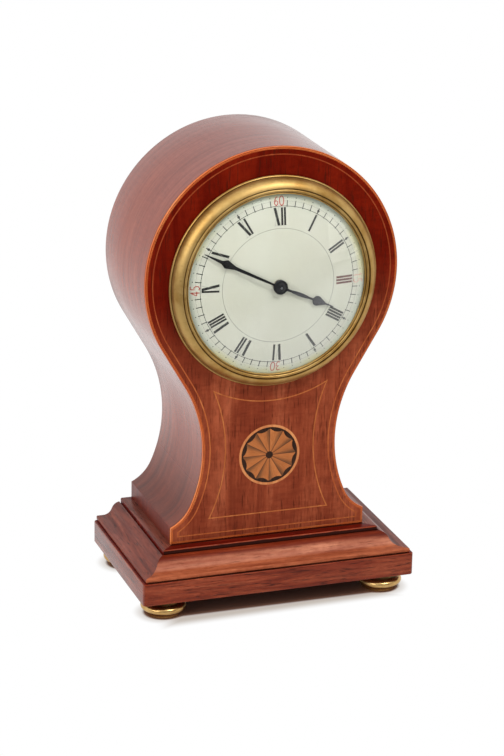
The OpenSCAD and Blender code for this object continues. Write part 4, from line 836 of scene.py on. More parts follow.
def stepFinish(normal, middle):
    # painted shade on the riser and the joint with the case, a painted highlight on the arris, and ends whose
    # veneer runs from front to back, painted paler as if lit
    fromJoint = abs(middle.y - caseShape["front"] + plinth["joint"] / 2)
    if normal.y < -facing["riser"] or fromJoint < plinth["jointReach"]:
        return "groove"
    if normal.z < facing["arris"]:
        return "step"
    if abs(normal.x) > facing["arris"] or abs(middle.x) > caseShape["halfWidth"]:
        return "stepEnd"
    return "stepEdge" if normal.z < facing["level"] else "step"


halfX, halfY, slabTop, stepTop = (plinth[key] for key in ("halfX", "halfY", "slabTop", "top"))
slabSection = roundedEdge(plinth["edge"], plinth["bottom"], -1)[::-1]
slabSection += roundedEdge(plinth["edge"], slabTop, 1) + [(run, slabTop)]
slab = roundedBlock(halfX, -halfY, halfY, plinth["corner"], slabSection)
addPiece("plinthSlab", slab, "plinth", stands=["plinth_slab"])
dress(slab, ("plinth", "plinthSide", "groove", "stepEdge", "step"), slabFinish)

toCase = caseShape["front"] + halfY - run
stepSection = [(0, slabTop), (0, stepTop - plinth["stepCut"])] + roundedEdge(plinth["stepRound"], stepTop, 1)
stepSection += [(toCase - plinth["joint"], stepTop), (toCase, stepTop)]
step = roundedBlock(halfX - run, run - halfY, halfY, plinth["stepCorner"], stepSection)
addPiece("plinthStep", step, "step", stands=["plinth_top"])
dress(step, ("step", "stepEdge", "stepEnd", "groove"), stepFinish)


def mouldingSection():
    # distance in from the slab's edge, and height
    edge, soft, filletTop = plinth["set"], plinth["soft"], slabTop + plinth["fillet"]
    turn = math.degrees(2 * math.atan(plinth["ogeeRise"] / plinth["ogeeRun"]))
    radius = plinth["ogeeRun"] / (2 * math.sin(math.radians(turn)))
    section = [(edge + soft, slabTop), (edge, slabTop + soft), (edge, filletTop - soft)]
    section += arc(edge + soft, filletTop - soft, soft, 180, 90, 3)[1:]
    section += arc(edge + plinth["flat"], filletTop + radius, radius, 270, 270 + turn, 10)
    section += arc(run, filletTop + plinth["ogeeRise"] - radius, radius, 90 + turn, 90, 10)[1:]
    # a quirk, the narrow groove against the step
    top = section[-1][1]
    quirk, quirkFoot = run - plinth["quirkWide"], top - plinth["quirkDeep"]
    section = [(inset, z) for inset, z in section if inset < quirk]
    return section + [(quirk, top - plinth["quirkDrop"]), (quirk + plinth["quirkLean"], quirkFoot),
                      (run, quirkFoot), (run, slabTop)]


def frontMitre(sign):
    return lambda inset, z: (sign * (halfX - inset - plinth["mitre"]), inset - halfY, z)


def sideMitre(sign):
    return lambda inset, z: (sign * (halfX - inset), inset - halfY + plinth["mitre"], z)


def backEnd(sign):
    return lambda inset, z: (sign * (halfX - inset), halfY, z)


for label, material, ends in (("Front", "moulding", (frontMitre(-1), frontMitre(1))),
                              ("Left", "mouldingSide", (backEnd(-1), sideMitre(-1))),
                              ("Right", "mouldingSide", (sideMitre(1), backEnd(1)))):
    strip = ringsMesh([[end(inset, z) for inset, z in mouldingSection()] for end in ends], caps=True)
    addPiece("moulding" + label, strip, material, stands=["moulding_" + label.lower()])

foot = {
    "x": 60.5, "y": 34.4, "steps": 72,
    # radius and height: the pad, the rim and the neck
    "profile": [[(0, 0), (8.7, 0), (9.0, 0.3), (9.0, 0.9), (9.25, 1.5), (9.9, 2.2)],
                (10.2, 4.5, 1.8, -62, 74, 12),
                [(10.2, 6.45), (9.6, 6.85), (9.1, 7.5), (8.9, 8.2), (8.9, 8.7), (9.2, 8.95), (9.2, 9.35),
                 (9.05, 9.5), (0, 9.5)]],
}
for end, footY in (("front", -foot["y"]), ("back", foot["y"])):
    for hand, footX in (("left", -foot["x"]), ("right", foot["x"])):
        bun = turnedMesh(traced(foot["profile"]), (footX, footY, 0), upright=True, steps=foot["steps"])
        addPiece(f"bunFoot_{end}_{hand}", bun, "foot", stands=[f"foot_{end}_{hand}"])
print("plinth and feet made")


# bezel, dial and glass, turned about the dial's centre; heights are in front of the board

dialSpot = (0.0, caseShape["front"], dialPlace["z"])
bezel = {
    "steps": 192,
    # outer bead, rounded face, inner bead, sight lip, then the glass's rebate and the sleeve
    "profile": [[(51.2, 0)], (55.3, 0.9, 0.9, -90, 80, 12), [(55.13, 1.72)],
                (49.02, 1.6, 6.19, 4.2, 73.6, 30), [(50.68, 7.2), (50.62, 6.52), (50.28, 6.52)],
                (49.45, 6.74, 0.8, 0, 180, 12), [(48.62, 6.52), (48.44, 6.52)],
                (48.05, 6.72, 0.35, 0, 180, 10),
                [(47.7, 6.46), (49.0, 6.46), (49.0, 5.56), (47.9, 5.56), (47.9, 4.96), (49.8, 4.96),
                 (49.8, -1.4), (51.2, -1.4)]],
}
bezelRing = turnedMesh(traced(bezel["profile"]), dialSpot, steps=bezel["steps"], wrap=True)
addPiece("bezel", bezelRing, "bezel", stands=["front_bezel"])

dial = {
    "height": 9.5, "dome": 240.0, "radius": 49.6, "hole": 3.4, "thick": 1.3, "skirt": 48.3, "foot": -1.4,
    "faceFrom": 3.6, "faceTo": 49.0, "faceSteps": 24, "holeDrop": 0.15, "rim": 49.4, "rimDrop": 0.06,
    "edgeDrop": 0.3, "backAt": (36.0, 20.0), "steps": 160,
}


def domeHeight(radius, dome, top):
    return top - dome + math.sqrt(dome * dome - radius * radius)


def dialFront(radius):
    return domeHeight(radius, dial["dome"], dial["height"])


def dialBack(radius):
    return domeHeight(radius, dial["dome"] - dial["thick"], dial["height"] - dial["thick"])


edgeH = dialFront(dial["radius"])
faceAt = spaced(dial["faceFrom"], dial["faceTo"], dial["faceSteps"])
dialProfile = [(dial["hole"], dialFront(dial["hole"]) - dial["holeDrop"])]
dialProfile += [(radius, dialFront(radius)) for radius in faceAt]
dialProfile += [(dial["rim"], edgeH - dial["rimDrop"]), (dial["radius"], edgeH - dial["edgeDrop"]),
                (dial["radius"], dial["foot"]), (dial["skirt"], dial["foot"])]
dialProfile += [(radius, dialBack(radius)) for radius in (dial["skirt"], *dial["backAt"], dial["hole"])]
enamelDial = turnedMesh(dialProfile, dialSpot, steps=dial["steps"], wrap=True)
addPiece("enamelDial", enamelDial, "enamel", stands=["dial"])

glass = {
    "edge": 47.6, "rise": 11.0, "thick": 1.1, "rimLow": 5.56, "rimTop": 6.46, "radius": 48.95, "play": 0.01,
    "arcSteps": 28, "steps": 160,
}
domeR = (glass["edge"] ** 2 + glass["rise"] ** 2) / (2 * glass["rise"])
glassTop = glass["rimTop"] + glass["rise"]
innerR, innerTop = domeR - glass["thick"], glassTop - glass["thick"]
innerEdge = math.sqrt(innerR ** 2 - (domeR - glassTop + glass["rimLow"]) ** 2)
outerAt = spaced(0, glass["edge"], glass["arcSteps"])
innerAt = spaced(0, innerEdge, glass["arcSteps"])[::-1]
glassProfile = [(radius, domeHeight(radius, domeR, glassTop)) for radius in outerAt]
glassProfile += [(glass["radius"], glass["rimTop"] - glass["play"]),
                 (glass["radius"], glass["rimLow"] + glass["play"])]
glassProfile += [(radius, domeHeight(radius, innerR, innerTop)) for radius in innerAt]
dialGlass = turnedMesh(glassProfile, dialSpot, steps=glass["steps"])
addPiece("dialGlass", dialGlass, "glass", stands=["dial_glass"])
print("bezel, dial and glass made")


# printing on the dial: flat ribbons laid on the dome

printing = {"lift": 0.03, "depth": 0.06, "piece": 1.2}


def ontoDial(x, z):
    return (x, caseShape["front"] - dialFront(math.hypot(x, z)) - printing["lift"], dialPlace["z"] + z)


def printMesh(mesh):
    # a flat mesh in X and Y, in metres, laid on the enamel and given a thickness
    for vertex in mesh.vertices:
        vertex.co = Vector(ontoDial(vertex.co.x / mm, vertex.co.y / mm)) * mm
    mesh.update()
    maker = makerOf(mesh)
    solid = maker.modifiers.new("thickness", "SOLIDIFY")
    solid.thickness = printing["depth"] * mm
    solid.offset = -1.0
    return tidyMesh(bakedMesh(maker), merge=False)


def divided(points):
    fine = [points[0]]
    for (startX, startY), (endX, endY) in zip(points, points[1:]):
        cuts = max(1, math.ceil(math.hypot(endX - startX, endY - startY) / printing["piece"]))
        fine += list(zip(spaced(startX, endX, cuts), spaced(startY, endY, cuts)))[1:]
    return fine


def ribbons(strokes):
    # each stroke is a list of points and its width
    vertices, faces = [], []
    for points, width in strokes:
        points = divided(points)
        last = len(points) - 1
        first = len(vertices)
        for k, (x, y) in enumerate(points):
            (beforeX, beforeY), (afterX, afterY) = points[max(k - 1, 0)], points[min(k + 1, last)]
            length = math.hypot(afterX - beforeX, afterY - beforeY)
            offX, offY = -(afterY - beforeY) / length * width / 2, (afterX - beforeX) / length * width / 2
            vertices += [(x + offX, y + offY, 0), (x - offX, y - offY, 0)]
        for k in range(first, first + 2 * last, 2):
            faces.append((k + 1, k + 3, k + 2, k))
    return meshOf(vertices, faces)


def atAngle(points, angle, radius):
    # points across and outwards from a spot on the dial, clockwise from twelve
    cosine, sine = math.cos(math.radians(angle)), math.sin(math.radians(angle))
    return [(x * cosine + (radius + y) * sine, (radius + y) * cosine - x * sine) for x, y in points]


chapter = {
    "inner": 31.5, "outer": 40.5, "thick": 1.36, "bar": 1.06, "thin": 0.14, "serif": 0.12, "reach": 0.8,
    "splay": 1.02, "lap": 0.1,
    # letters and their places across each hour
    "hours": {
        1: [("I", 0.0)], 2: [("I", -0.72), ("I", 0.85)], 3: [("I", -1.57), ("I", 0.0), ("I", 1.57)],
        4: [("I", -2.2), ("I", -0.75), ("I", 0.7), ("I", 2.15)], 5: [("V", 0.0)],
        6: [("V", -1.1), ("I", 1.45)], 7: [("V", -1.6), ("I", 0.9), ("I", 2.4)],
        8: [("V", -1.9), ("I", 0.45), ("I", 1.95), ("I", 3.45)],
        9: [("I", -0.6), ("X", 1.5)], 10: [("X", 0.4)], 11: [("X", -0.5), ("I", 1.9)],
        12: [("X", -1.3), ("I", 1.5), ("I", 3.05)],
    },
}


def letterStrokes(letter, x):
    inner, outer, thick, thin = (chapter[key] for key in ("inner", "outer", "thick", "thin"))
    left, right = x - chapter["splay"], x + chapter["splay"]
    if letter == "I":
        bars = [([(x, inner), (x, outer)], chapter["bar"])]
        feet = [(x, inner), (x, outer)]
    elif letter == "V":
        bars = [([(left, outer), (x, inner)], thick), ([(right, outer), (x + chapter["lap"], inner)], thin)]
        feet = [(left, outer), (right, outer)]
    else:
        bars = [([(left, outer), (right, inner)], thick), ([(right, outer), (left, inner)], thin)]
        feet = [(left, outer), (right, outer), (left, inner), (right, inner)]
    reach = chapter["reach"]
    return bars + [([(footX - reach, y), (footX + reach, y)], chapter["serif"]) for footX, y in feet]


strokes = {name: [] for name in ("hourNumerals", "hourNumeralThree", "hourHairlines", "minuteNumbers",
                                 "minuteFifteen")}
for hour, letters in chapter["hours"].items():
    heavy = "hourNumeralThree" if hour == 3 else "hourNumerals"
    for letter, across in letters:
        for points, width in letterStrokes(letter, across):
            name = heavy if width >= chapter["bar"] else "hourHairlines"
            strokes[name].append((atAngle(points, hour * 30, 0), width))

minuteNumbers = {
    "radius": 41.5, "height": 4.7, "width": 2.3, "gap": 0.65, "line": 0.52,
    "numbers": {"60": 0, "15": 90, "30": 180, "45": 270},
    # each digit's path in a box of width and height one
    "paths": {
        "0": arc(0.5, 0.5, 0.5, 90, -270, 16),
        "1": [(0.2, 0.8), (0.5, 1.0), (0.5, 0.0)],
        "3": [(0.05, 0.95), (0.5, 1.0), (0.85, 0.85), (0.8, 0.62), (0.4, 0.54), (0.85, 0.44), (0.95, 0.22),
              (0.6, 0.0), (0.05, 0.06)],
        "4": [(0.7, 0.0), (0.7, 1.0), (0.05, 0.3), (1.0, 0.3)],
        "5": [(0.9, 1.0), (0.25, 1.0), (0.15, 0.58), (0.55, 0.62), (0.9, 0.42), (0.85, 0.14), (0.45, 0.0),
              (0.05, 0.08)],
        "6": [(0.85, 0.95), (0.45, 0.85), (0.15, 0.5), (0.1, 0.22), (0.45, 0.0), (0.85, 0.14), (0.88, 0.4),
              (0.5, 0.54), (0.14, 0.36)],
    },
}
digitWide, digitHigh, digitGap = (minuteNumbers[key] for key in ("width", "height", "gap"))
for number, angle in minuteNumbers["numbers"].items():
    name = "minuteFifteen" if number == "15" else "minuteNumbers"
    for k, digit in enumerate(number):
        left = -digitWide - digitGap / 2 + k * (digitWide + digitGap)
        points = [(left + x * digitWide, y * digitHigh) for x, y in minuteNumbers["paths"][digit]]
        strokes[name].append((atAngle(points, angle, minuteNumbers["radius"]), minuteNumbers["line"]))
for name, ink in (("hourNumerals", "black"), ("hourNumeralThree", "brown"), ("hourHairlines", "hair"),
                  ("minuteNumbers", "red"), ("minuteFifteen", "faded")):
    addPiece(name, printMesh(ribbons(strokes[name])), ink)


def startTree(name, inputs):
    tree = bpy.data.node_groups.new(name, "GeometryNodeTree")
    sockets = {}
    for label, kind in inputs.items():
        sockets[label] = tree.interface.new_socket(label, in_out="INPUT", socket_type="NodeSocket" + kind)
    tree.interface.new_socket("Geometry", in_out="OUTPUT", socket_type="NodeSocketGeometry")
    return tree, sockets, nodeAdder(tree)


def endTree(add, geometry, material):
    real = add("GeometryNodeRealizeInstances", {0: geometry}).outputs[0]
    dressed = add("GeometryNodeSetMaterial", {"Geometry": real, "Material": material}).outputs[0]
    add("NodeGroupOutput", {0: dressed})


def marksTree(name, diamond):
    # marks set round a circle, one at each point, pointing outwards
    tree, sockets, add = startTree(name, {
        "Geometry": "Geometry", "Count": "Int", "Leave out every": "Int", "Radius": "Float",
        "Length": "Float", "Width": "Float", "Material": "Material"})
    given = add("NodeGroupInput").outputs
    circle = add("GeometryNodeMeshCircle", {"Vertices": given["Count"], "Radius": given["Radius"]})
    part = xyz(add, add("GeometryNodeInputPosition").outputs[0])
    turn = joined(add, {"Z": maths(add, "ARCTAN2", part["Y"], part["X"])})
    share = maths(add, "MODULO", add("GeometryNodeInputIndex").outputs[0], given["Leave out every"])
    keep = maths(add, "GREATER_THAN", share, 0.5)
    if diamond:
        shape = add("GeometryNodeMeshCircle", {"Vertices": 4, "Radius": 0.5}, fill_type="NGON").outputs[0]
        size = joined(add, {"X": given["Length"], "Y": given["Width"], "Z": 1.0})
        shape = add("GeometryNodeTransform", {"Geometry": shape, "Scale": size}).outputs[0]
    else:
        shape = add("GeometryNodeMeshGrid", {"Size X": given["Length"], "Size Y": given["Width"],
                                             "Vertices X": 4, "Vertices Y": 2}).outputs[0]
    placed = add("GeometryNodeInstanceOnPoints", {"Points": circle.outputs[0], "Selection": keep,
                                                  "Instance": shape, "Rotation": turn})
    endTree(add, placed.outputs[0], given["Material"])
    return tree, sockets


def circlesTree(name):
    # a thin line on a circle
    tree, sockets, add = startTree(name, {
        "Geometry": "Geometry", "Radius": "Float", "Width": "Float", "Material": "Material"})
    given = add("NodeGroupInput").outputs
    circle = add("GeometryNodeCurvePrimitiveCircle", {"Resolution": 160, "Radius": given["Radius"]})
    start = joined(add, {"X": times(add, given["Width"], -0.5)})
    end = joined(add, {"X": times(add, given["Width"], 0.5)})
    flat = add("GeometryNodeCurvePrimitiveLine", {"Start": start, "End": end}).outputs[0]
    swept = add("GeometryNodeCurveToMesh", {"Curve": circle.outputs[0], "Profile Curve": flat})
    endTree(add, swept.outputs[0], given["Material"])
    return tree, sockets


def grownMesh(tree, sockets, values):
    maker = makerOf(bpy.data.meshes.new("marks"))
    grow = maker.modifiers.new("grow", "NODES")
    grow.node_group = tree
    for label, value in values.items():
        grow[sockets[label].identifier] = value
    return bakedMesh(maker)


track = {
    "inner": 41.2, "outer": 43.7, "over": 0.4, "tick": 0.44, "line": 0.27, "outerLine": 0.1,
    "diamondAt": 42.6, "diamond": (2.5, 1.45), "dotAt": 45.4, "dot": 0.66, "middle": 30.0, "middleLine": 0.22,
}
tickAt = (track["inner"] + track["outer"]) / 2
tickLong = track["outer"] - track["inner"] + 2 * track["over"]
tickTree = marksTree("minuteTicks", False)
diamondTree = marksTree("fiveMinuteDiamonds", True)
for name, maker, count, leaveOut, radius, length, width, ink in (
        ("minuteTicks", tickTree, 60, 15, tickAt, tickLong, track["tick"], "track"),
        ("fiveMinuteDiamonds", diamondTree, 12, 3, track["diamondAt"], *track["diamond"], "black"),
        ("minuteDots", diamondTree, 60, 15, track["dotAt"], track["dot"], track["dot"], "track")):
    marks = grownMesh(*maker, {
        "Count": count, "Leave out every": leaveOut, "Radius": radius * mm, "Length": length * mm,
        "Width": width * mm, "Material": finish[ink]})
    addPiece(name, printMesh(marks), ink)
circleTree = circlesTree("dialCircle")
for name, radius, width, ink in (("trackInnerCircle", track["inner"], track["line"], "track"),
                                 ("trackOuterCircle", track["outer"], track["outerLine"], "grey"),
                                 ("middleCircle", track["middle"], track["middleLine"], "grey")):
    circle = grownMesh(*circleTree, {"Radius": radius * mm, "Width": width * mm, "Material": finish[ink]})
    addPiece(name, printMesh(circle), ink)
print("dial printed")


# hands, bent over the dome

hands = {"thick": 0.4, "bevel": 0.14, "boss": 3.7, "step": 0.25, "least": 0.06, "bevelShare": 0.6}
# spade, spadeR, heel, wide and point are shares of a hand's length, shoulder counts in spadeR
hourHand = {
    "length": 33.0, "angle": 114.6, "front": -35.9, "bend": 200.0, "spade": 0.685, "spadeR": 0.079,
    "stem": (1.3, 1.0), "leaf": 2.0, "shoulder": 1.7, "neck": 1.0, "tip": (1.3, 0.4),
}
minuteHand = {
    "length": 43.6, "angle": 295.9, "front": -36.95, "bend": 180.0, "heel": 0.61, "wide": 0.725,
    "point": 0.78, "stem": (1.0, 1.8), "wideAcross": 4.6, "tip": (1.8, 0.4),
}


def taper(along, start, end, startWidth, endWidth):
    if not start <= along <= end:
        return 0.0
    return (startWidth + (endWidth - startWidth) * (along - start) / (end - start)) / 2


def disc(along, middle, radius):
    return math.sqrt(max(radius ** 2 - (along - middle) ** 2, 0.0))


def leaf(along, start, end, width):
    if not start <= along <= end:
        return 0.0
    halfLong = (end - start) / 2
    radius = (halfLong * halfLong + width * width / 4) / width
    return math.sqrt(radius ** 2 - (along - start - halfLong) ** 2) - radius + width / 2


def hourWidth(along):
    length, boss = hourHand["length"], hands["boss"]
    spade, radius = hourHand["spade"] * length, hourHand["spadeR"] * length
    shoulder = hourHand["shoulder"] * radius
    return max(disc(along, 0, boss), taper(along, 0, spade, *hourHand["stem"]),
               leaf(along, boss, spade - radius, hourHand["leaf"]), disc(along, spade, radius),
               taper(along, spade + radius / 2, spade + 2 * radius, shoulder, hourHand["neck"]),
               taper(along, spade, length, *hourHand["tip"]))


def minuteWidth(along):
    length, wideAcross = minuteHand["length"], minuteHand["wideAcross"]
    heel, wide, point = (minuteHand[key] * length for key in ("heel", "wide", "point"))
    slim, broad = minuteHand["stem"]
    return max(disc(along, 0, hands["boss"]), taper(along, 0, heel, slim, broad),
               taper(along, heel, wide, broad, wideAcross), taper(along, wide, point, wideAcross, broad),
               taper(along, point, length, *minuteHand["tip"]))


def handMesh(hand, halfWidth):
    angle, bend, thick = math.radians(hand["angle"]), hand["bend"], hands["thick"]
    stations = math.ceil((hand["length"] + hands["boss"]) / hands["step"])
    rings = []
    for along in spaced(-hands["boss"], hand["length"], stations):
        half = max(halfWidth(along), hands["least"])
        bevel = min(hands["bevel"], half * hands["bevelShare"])
        ring = []
        for across, sunk in ((-half, thick), (half, thick), (half, bevel), (half - bevel, 0), (0, 0),
                             (bevel - half, 0), (-half, bevel)):
            x = across * math.cos(angle) + along * math.sin(angle)
            z = along * math.cos(angle) - across * math.sin(angle)
            y = hand["front"] + sunk + bend - math.sqrt(bend ** 2 - across * across - along * along)
            ring.append((x, y, dialPlace["z"] + z))
        rings.append(ring)
    return ringsMesh(rings, caps=True)


# the hour hand takes the lighter steel, a painted reflection
addPiece("hourHand", handMesh(hourHand, hourWidth), "worn", "hour_wheel", ["hour_hand"])
addPiece("minuteHand", handMesh(minuteHand, minuteWidth), "blued", "hand_setting",
         ["minute_hand"])

collet = {
    "radius": 2.5, "height": 0.82, "edge": 0.05, "domeSteps": 12, "steps": 48,
    "pin": [(0, 0.6), (0.62, 0.6), (0.62, 0.84), (0.36, 0.89), (0, 0.9)], "pinSteps": 24,
}
colletSpot = (0, minuteHand["front"], dialPlace["z"])
colletDome = (collet["radius"] ** 2 + collet["height"] ** 2) / (2 * collet["height"])
colletProfile = [(0, 0), (collet["radius"], 0), (collet["radius"], collet["edge"])]
colletProfile += [(radius, domeHeight(radius, colletDome, collet["height"]))
                  for radius in spaced(0, collet["radius"], collet["domeSteps"])[-2::-1]]
colletCap = turnedMesh(colletProfile, colletSpot, steps=collet["steps"])
addPiece("handCollet", colletCap, "blued", "hand_setting", ["hand_collet"])
handPin = turnedMesh(collet["pin"], colletSpot, steps=collet["pinSteps"])
addPiece("handPin", handPin, "steel", "hand_setting")
print("hands made")


# rear ring and door, turned about the dial's axis; depths run backwards from the case's origin

rearRing = {
    "flange": 41.7, "top": 43.0,
    # radius, and depth past the top: sleeve, flange, rim bead with its groove, and the opening
    "profile": [[(40.0, -6.3), (41.5, -6.3), (41.5, -1.3), (46.7, -1.3), (47.0, -1.0), (47.0, -0.45),
                 (46.85, -0.15), (46.55, 0), (46.25, -0.12), (46.12, -0.3), (45.9, -0.3), (45.8, 0),
                 (42.3, 0), (40.2, 0), (40.0, -0.2)]],
}
door = {
    "inner": 43.12, "outer": 44.12,
    # radius, and depth past the outer face: edge, rim bead with its groove, two reeds, sunk field, boss
    "profile": [[(0, -1.0), (41.65, -1.0), (41.8, -0.85), (41.8, -0.25), (41.55, 0), (41.2, 0)],
                (40.4, -0.33, 0.76, 26, 154, 10), [(39.45, -0.16), (39.15, -0.16), (39.0, 0), (36.82, 0)],
                (36.4, -0.12, 0.4, 18, 162, 6), [(35.98, 0), (35.82, 0)],
                (35.4, -0.12, 0.4, 18, 162, 6),
                [(34.98, 0), (34.6, 0), (33.8, -0.12), (9.6, -0.12), (9.3, -0.22), (9.1, -0.22), (8.8, 0),
                 (7.6, 0.14), (4.0, 0.2), (0, 0.22)]],
}
hinge = {
    "x": -48.8, "y": 44.12, "radius": 1.5, "pin": 0.75, "half": 4.0, "gap": 0.2, "long": 4.0, "soft": 0.2,
    "steps": 36, "tabEnd": -44.0, "tabSoft": 0.15, "sunk": 0.02,
}
leafPlate = {
    "end": -33.4, "half": 3.8, "proud": 0.42, "soft": 0.22, "rivetX": (-43.8, -37.4), "rivetZ": 2.1,
    "rivetR": 0.9, "rivetFoot": -0.2, "rivetEdge": 0.05, "rivetRise": 0.4, "rivetSteps": 28,
}
pull = {
    "x": 36.4, "steps": 48,
    # radius, and height above the door: collar, neck and head
    "profile": [[(0, -0.3), (2.1, -0.3), (2.1, 0.16), (1.9, 0.34), (1.33, 0.4), (1.08, 0.62), (1.08, 0.95),
                 (1.38, 1.15)], (1.35, 1.58, 0.45, -60, 70, 8), [(1.1, 2.14), (0.6, 2.19), (0, 2.2)]],
}


def rearTurned(profile, x=0.0, z=0.0, steps=160, wrap=False):
    # a profile of radius and depth, turned about an axis that runs backwards
    spot = (x, 0.0, dialPlace["z"] + z)
    return turnedMesh([(radius, -y) for radius, y in profile], spot, steps=steps, wrap=wrap)


ringMesh = rearTurned(traced(rearRing["profile"], rearRing["top"]), wrap=True)
addPiece("rearRing", ringMesh, "brass", stands=["rear_ring"])
doorMesh = rearTurned(traced(door["profile"], door["outer"]))
addPiece("rearDoor", doorMesh, "brass", "rear_door", ["rear_door"])


def knuckle(low, high):
    pin, radius, soft = hinge["pin"], hinge["radius"], hinge["soft"]
    tube = [(pin, low), (radius - soft, low), (radius, low + soft), (radius, high - soft),
            (radius - soft, high), (pin, high)]
    spot = (hinge["x"], hinge["y"], dialPlace["z"])
    return turnedMesh(tube, spot, upright=True, steps=hinge["steps"], wrap=True)


def plate(endX, nearY, farY, lowZ, highZ, soft):
    # a plate from the hinge, with its edges eased
    work = bmesh.new()
    bmesh.ops.create_cube(work, size=1.0)
    low = Vector((hinge["x"], nearY, dialPlace["z"] + lowZ))
    high = Vector((endX, farY, dialPlace["z"] + highZ))
    for vertex in work.verts:
        share = vertex.co + Vector((0.5, 0.5, 0.5))
        vertex.co = (low + (high - low) * share) * mm
    bmesh.ops.bevel(work, geom=work.edges[:], offset=soft * mm, segments=3, affect="EDGES", profile=0.5)
    mesh = bpy.data.meshes.new("plate")
    work.to_mesh(mesh)
    work.free()
    return tidyMesh(mesh)


sunk, leafTop = hinge["sunk"], door["outer"] + leafPlate["proud"]
near = hinge["half"] + hinge["gap"]
far = near + hinge["long"]
for label, low, high in (("upper", near, far), ("lower", -far, -near)):
    addPiece(f"ringKnuckle_{label}", knuckle(low, high), "hinge")
    tab = plate(hinge["tabEnd"], rearRing["flange"] + sunk, rearRing["top"] - sunk, low, high,
                hinge["tabSoft"])
    addPiece(f"ringTab_{label}", tab, "hinge")
addPiece("doorKnuckle", knuckle(-hinge["half"], hinge["half"]), "hinge", "rear_door")
hingeLeaf = plate(leafPlate["end"], door["inner"] + sunk, leafTop, -leafPlate["half"], leafPlate["half"],
                  leafPlate["soft"])
addPiece("doorLeaf", hingeLeaf, "hinge", "rear_door")

rivetR, rivetEdge = leafPlate["rivetR"], leafTop + leafPlate["rivetEdge"]
rivetHead = [(0, leafTop + leafPlate["rivetFoot"]), (rivetR, leafTop + leafPlate["rivetFoot"])]
rivetHead += [(rivetR, rivetEdge)]
rivetHead += [(rivetR * out, rivetEdge + leafPlate["rivetRise"] * up) for out, up in arc(0, 0, 1, 15, 90, 6)]
for k, rivetX in enumerate(leafPlate["rivetX"]):
    for label, rivetZ in (("upper", leafPlate["rivetZ"]), ("lower", -leafPlate["rivetZ"])):
        rivet = rearTurned(rivetHead, rivetX, rivetZ, leafPlate["rivetSteps"])
        addPiece(f"doorRivet_{label}_{k}", rivet, "pull", "rear_door")
knob = rearTurned(traced(pull["profile"], door["outer"]), pull["x"], steps=pull["steps"])
addPiece("doorPull", knob, "pull", "rear_door")
print("rear ring and door made")


# the CAD nodes that stay, with their finishes

nodeFinish = {
    "innerString": ["inner_stringing"],
    "panelString": ["panel_stringing"],
    "string": ["patera_ring"],
    "petal": ["patera_petals"],
    "shaded": ["patera_shading"],
    "ebony": ["patera_ground", "patera_eye"],
    "inside": ["case_floor", "back_board"],
    "movement": ["dial_plate", "front_plate", "back_plate", "pillars", "barrel", "barrel_cap", "centre_wheel",
                 "third_wheel", "fourth_wheel", "minute_wheel", "hour_wheel", "platform", "escape_cock",
                 "balance_wheel", "balance_cock", "straps"],
    "steel": ["case_screws", "movement_screws", "winding_arbor", "mainspring", "ratchet_wheel", "click",
              "click_spring", "centre_arbor", "cannon_pinion", "escape_wheel", "pallet_lever",
              "regulator_index", "door_pin", "strap_screws"],
    "blued": ["hairspring"],
}
for material, names in nodeFinish.items():
    for name in names:
        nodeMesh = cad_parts[name].data
        nodeMesh.materials.clear()
        nodeMesh.materials.append(finish[material])
print("node finishes set")


# floor, light and camera

white = (1, 1, 1, 1)
studio = {
    "floor": 3.0, "gritDark": (0.84, 0.84, 0.84, 1), "gritPale": (0.88, 0.88, 0.88, 1), "dull": 0.7,
    # the shade under the plinth, in millimetres from its edge and from the feet
    "shade": (0.17, 0.08, 0.05, 1), "shadeFrom": -5.0, "shadeTo": -1.5, "endShade": 9.0,
    "footShade": (9.6, 12.0), "softShade": (0.56, 0.5, 0.45, 1), "softTo": 8.0, "softLean": 0.03,
    "softEnds": (-12.0, 4.0), "softFoot": (11.0, 17.0), "softFootShare": 0.4,
    # the room, dimmer in front, for polish and glass
    "dimFrom": -0.12, "dimTo": -0.42, "dimLean": 0.4, "ambient": 0.66, "roomFront": 0.2, "roomRight": 0.4,
    "behind": (-0.5, 0.2), "toRight": (0.3, 0.95), "above": (0.3, 0.8),
}
lamps = {
    "key": {"place": (0.45, -0.85, 1.35), "aim": (0.0, 0.0, 0.12), "size": (0.42, 0.42), "power": 10.0},
    "fill": {"place": (-1.25, -0.72, 0.92), "aim": (0.0, 0.0, 0.12), "size": (1.1, 1.1), "power": 14.0},
    "side": {"place": (1.3, -0.81, 0.2), "aim": (0.0, 0.0, 0.17), "size": (0.6, 1.2), "power": 0.9},
}


def seenRays(add):
    # what the camera, polish and glass see; soft bounced light keeps to the plain level
    path = add("ShaderNodeLightPath").outputs
    seen = maths(add, "MAXIMUM", path["Is Camera Ray"], path["Is Glossy Ray"])
    seen = maths(add, "MAXIMUM", seen, path["Is Transmission Ray"])
    return times(add, seen, maths(add, "LESS_THAN", path["Diffuse Depth"], 0.5))


def whereSeen(add, level):
    # white for the camera, dimmer towards the dark side of the room for polish and glass
    return maths(add, "MAXIMUM", level, add("ShaderNodeLightPath").outputs["Is Camera Ray"])


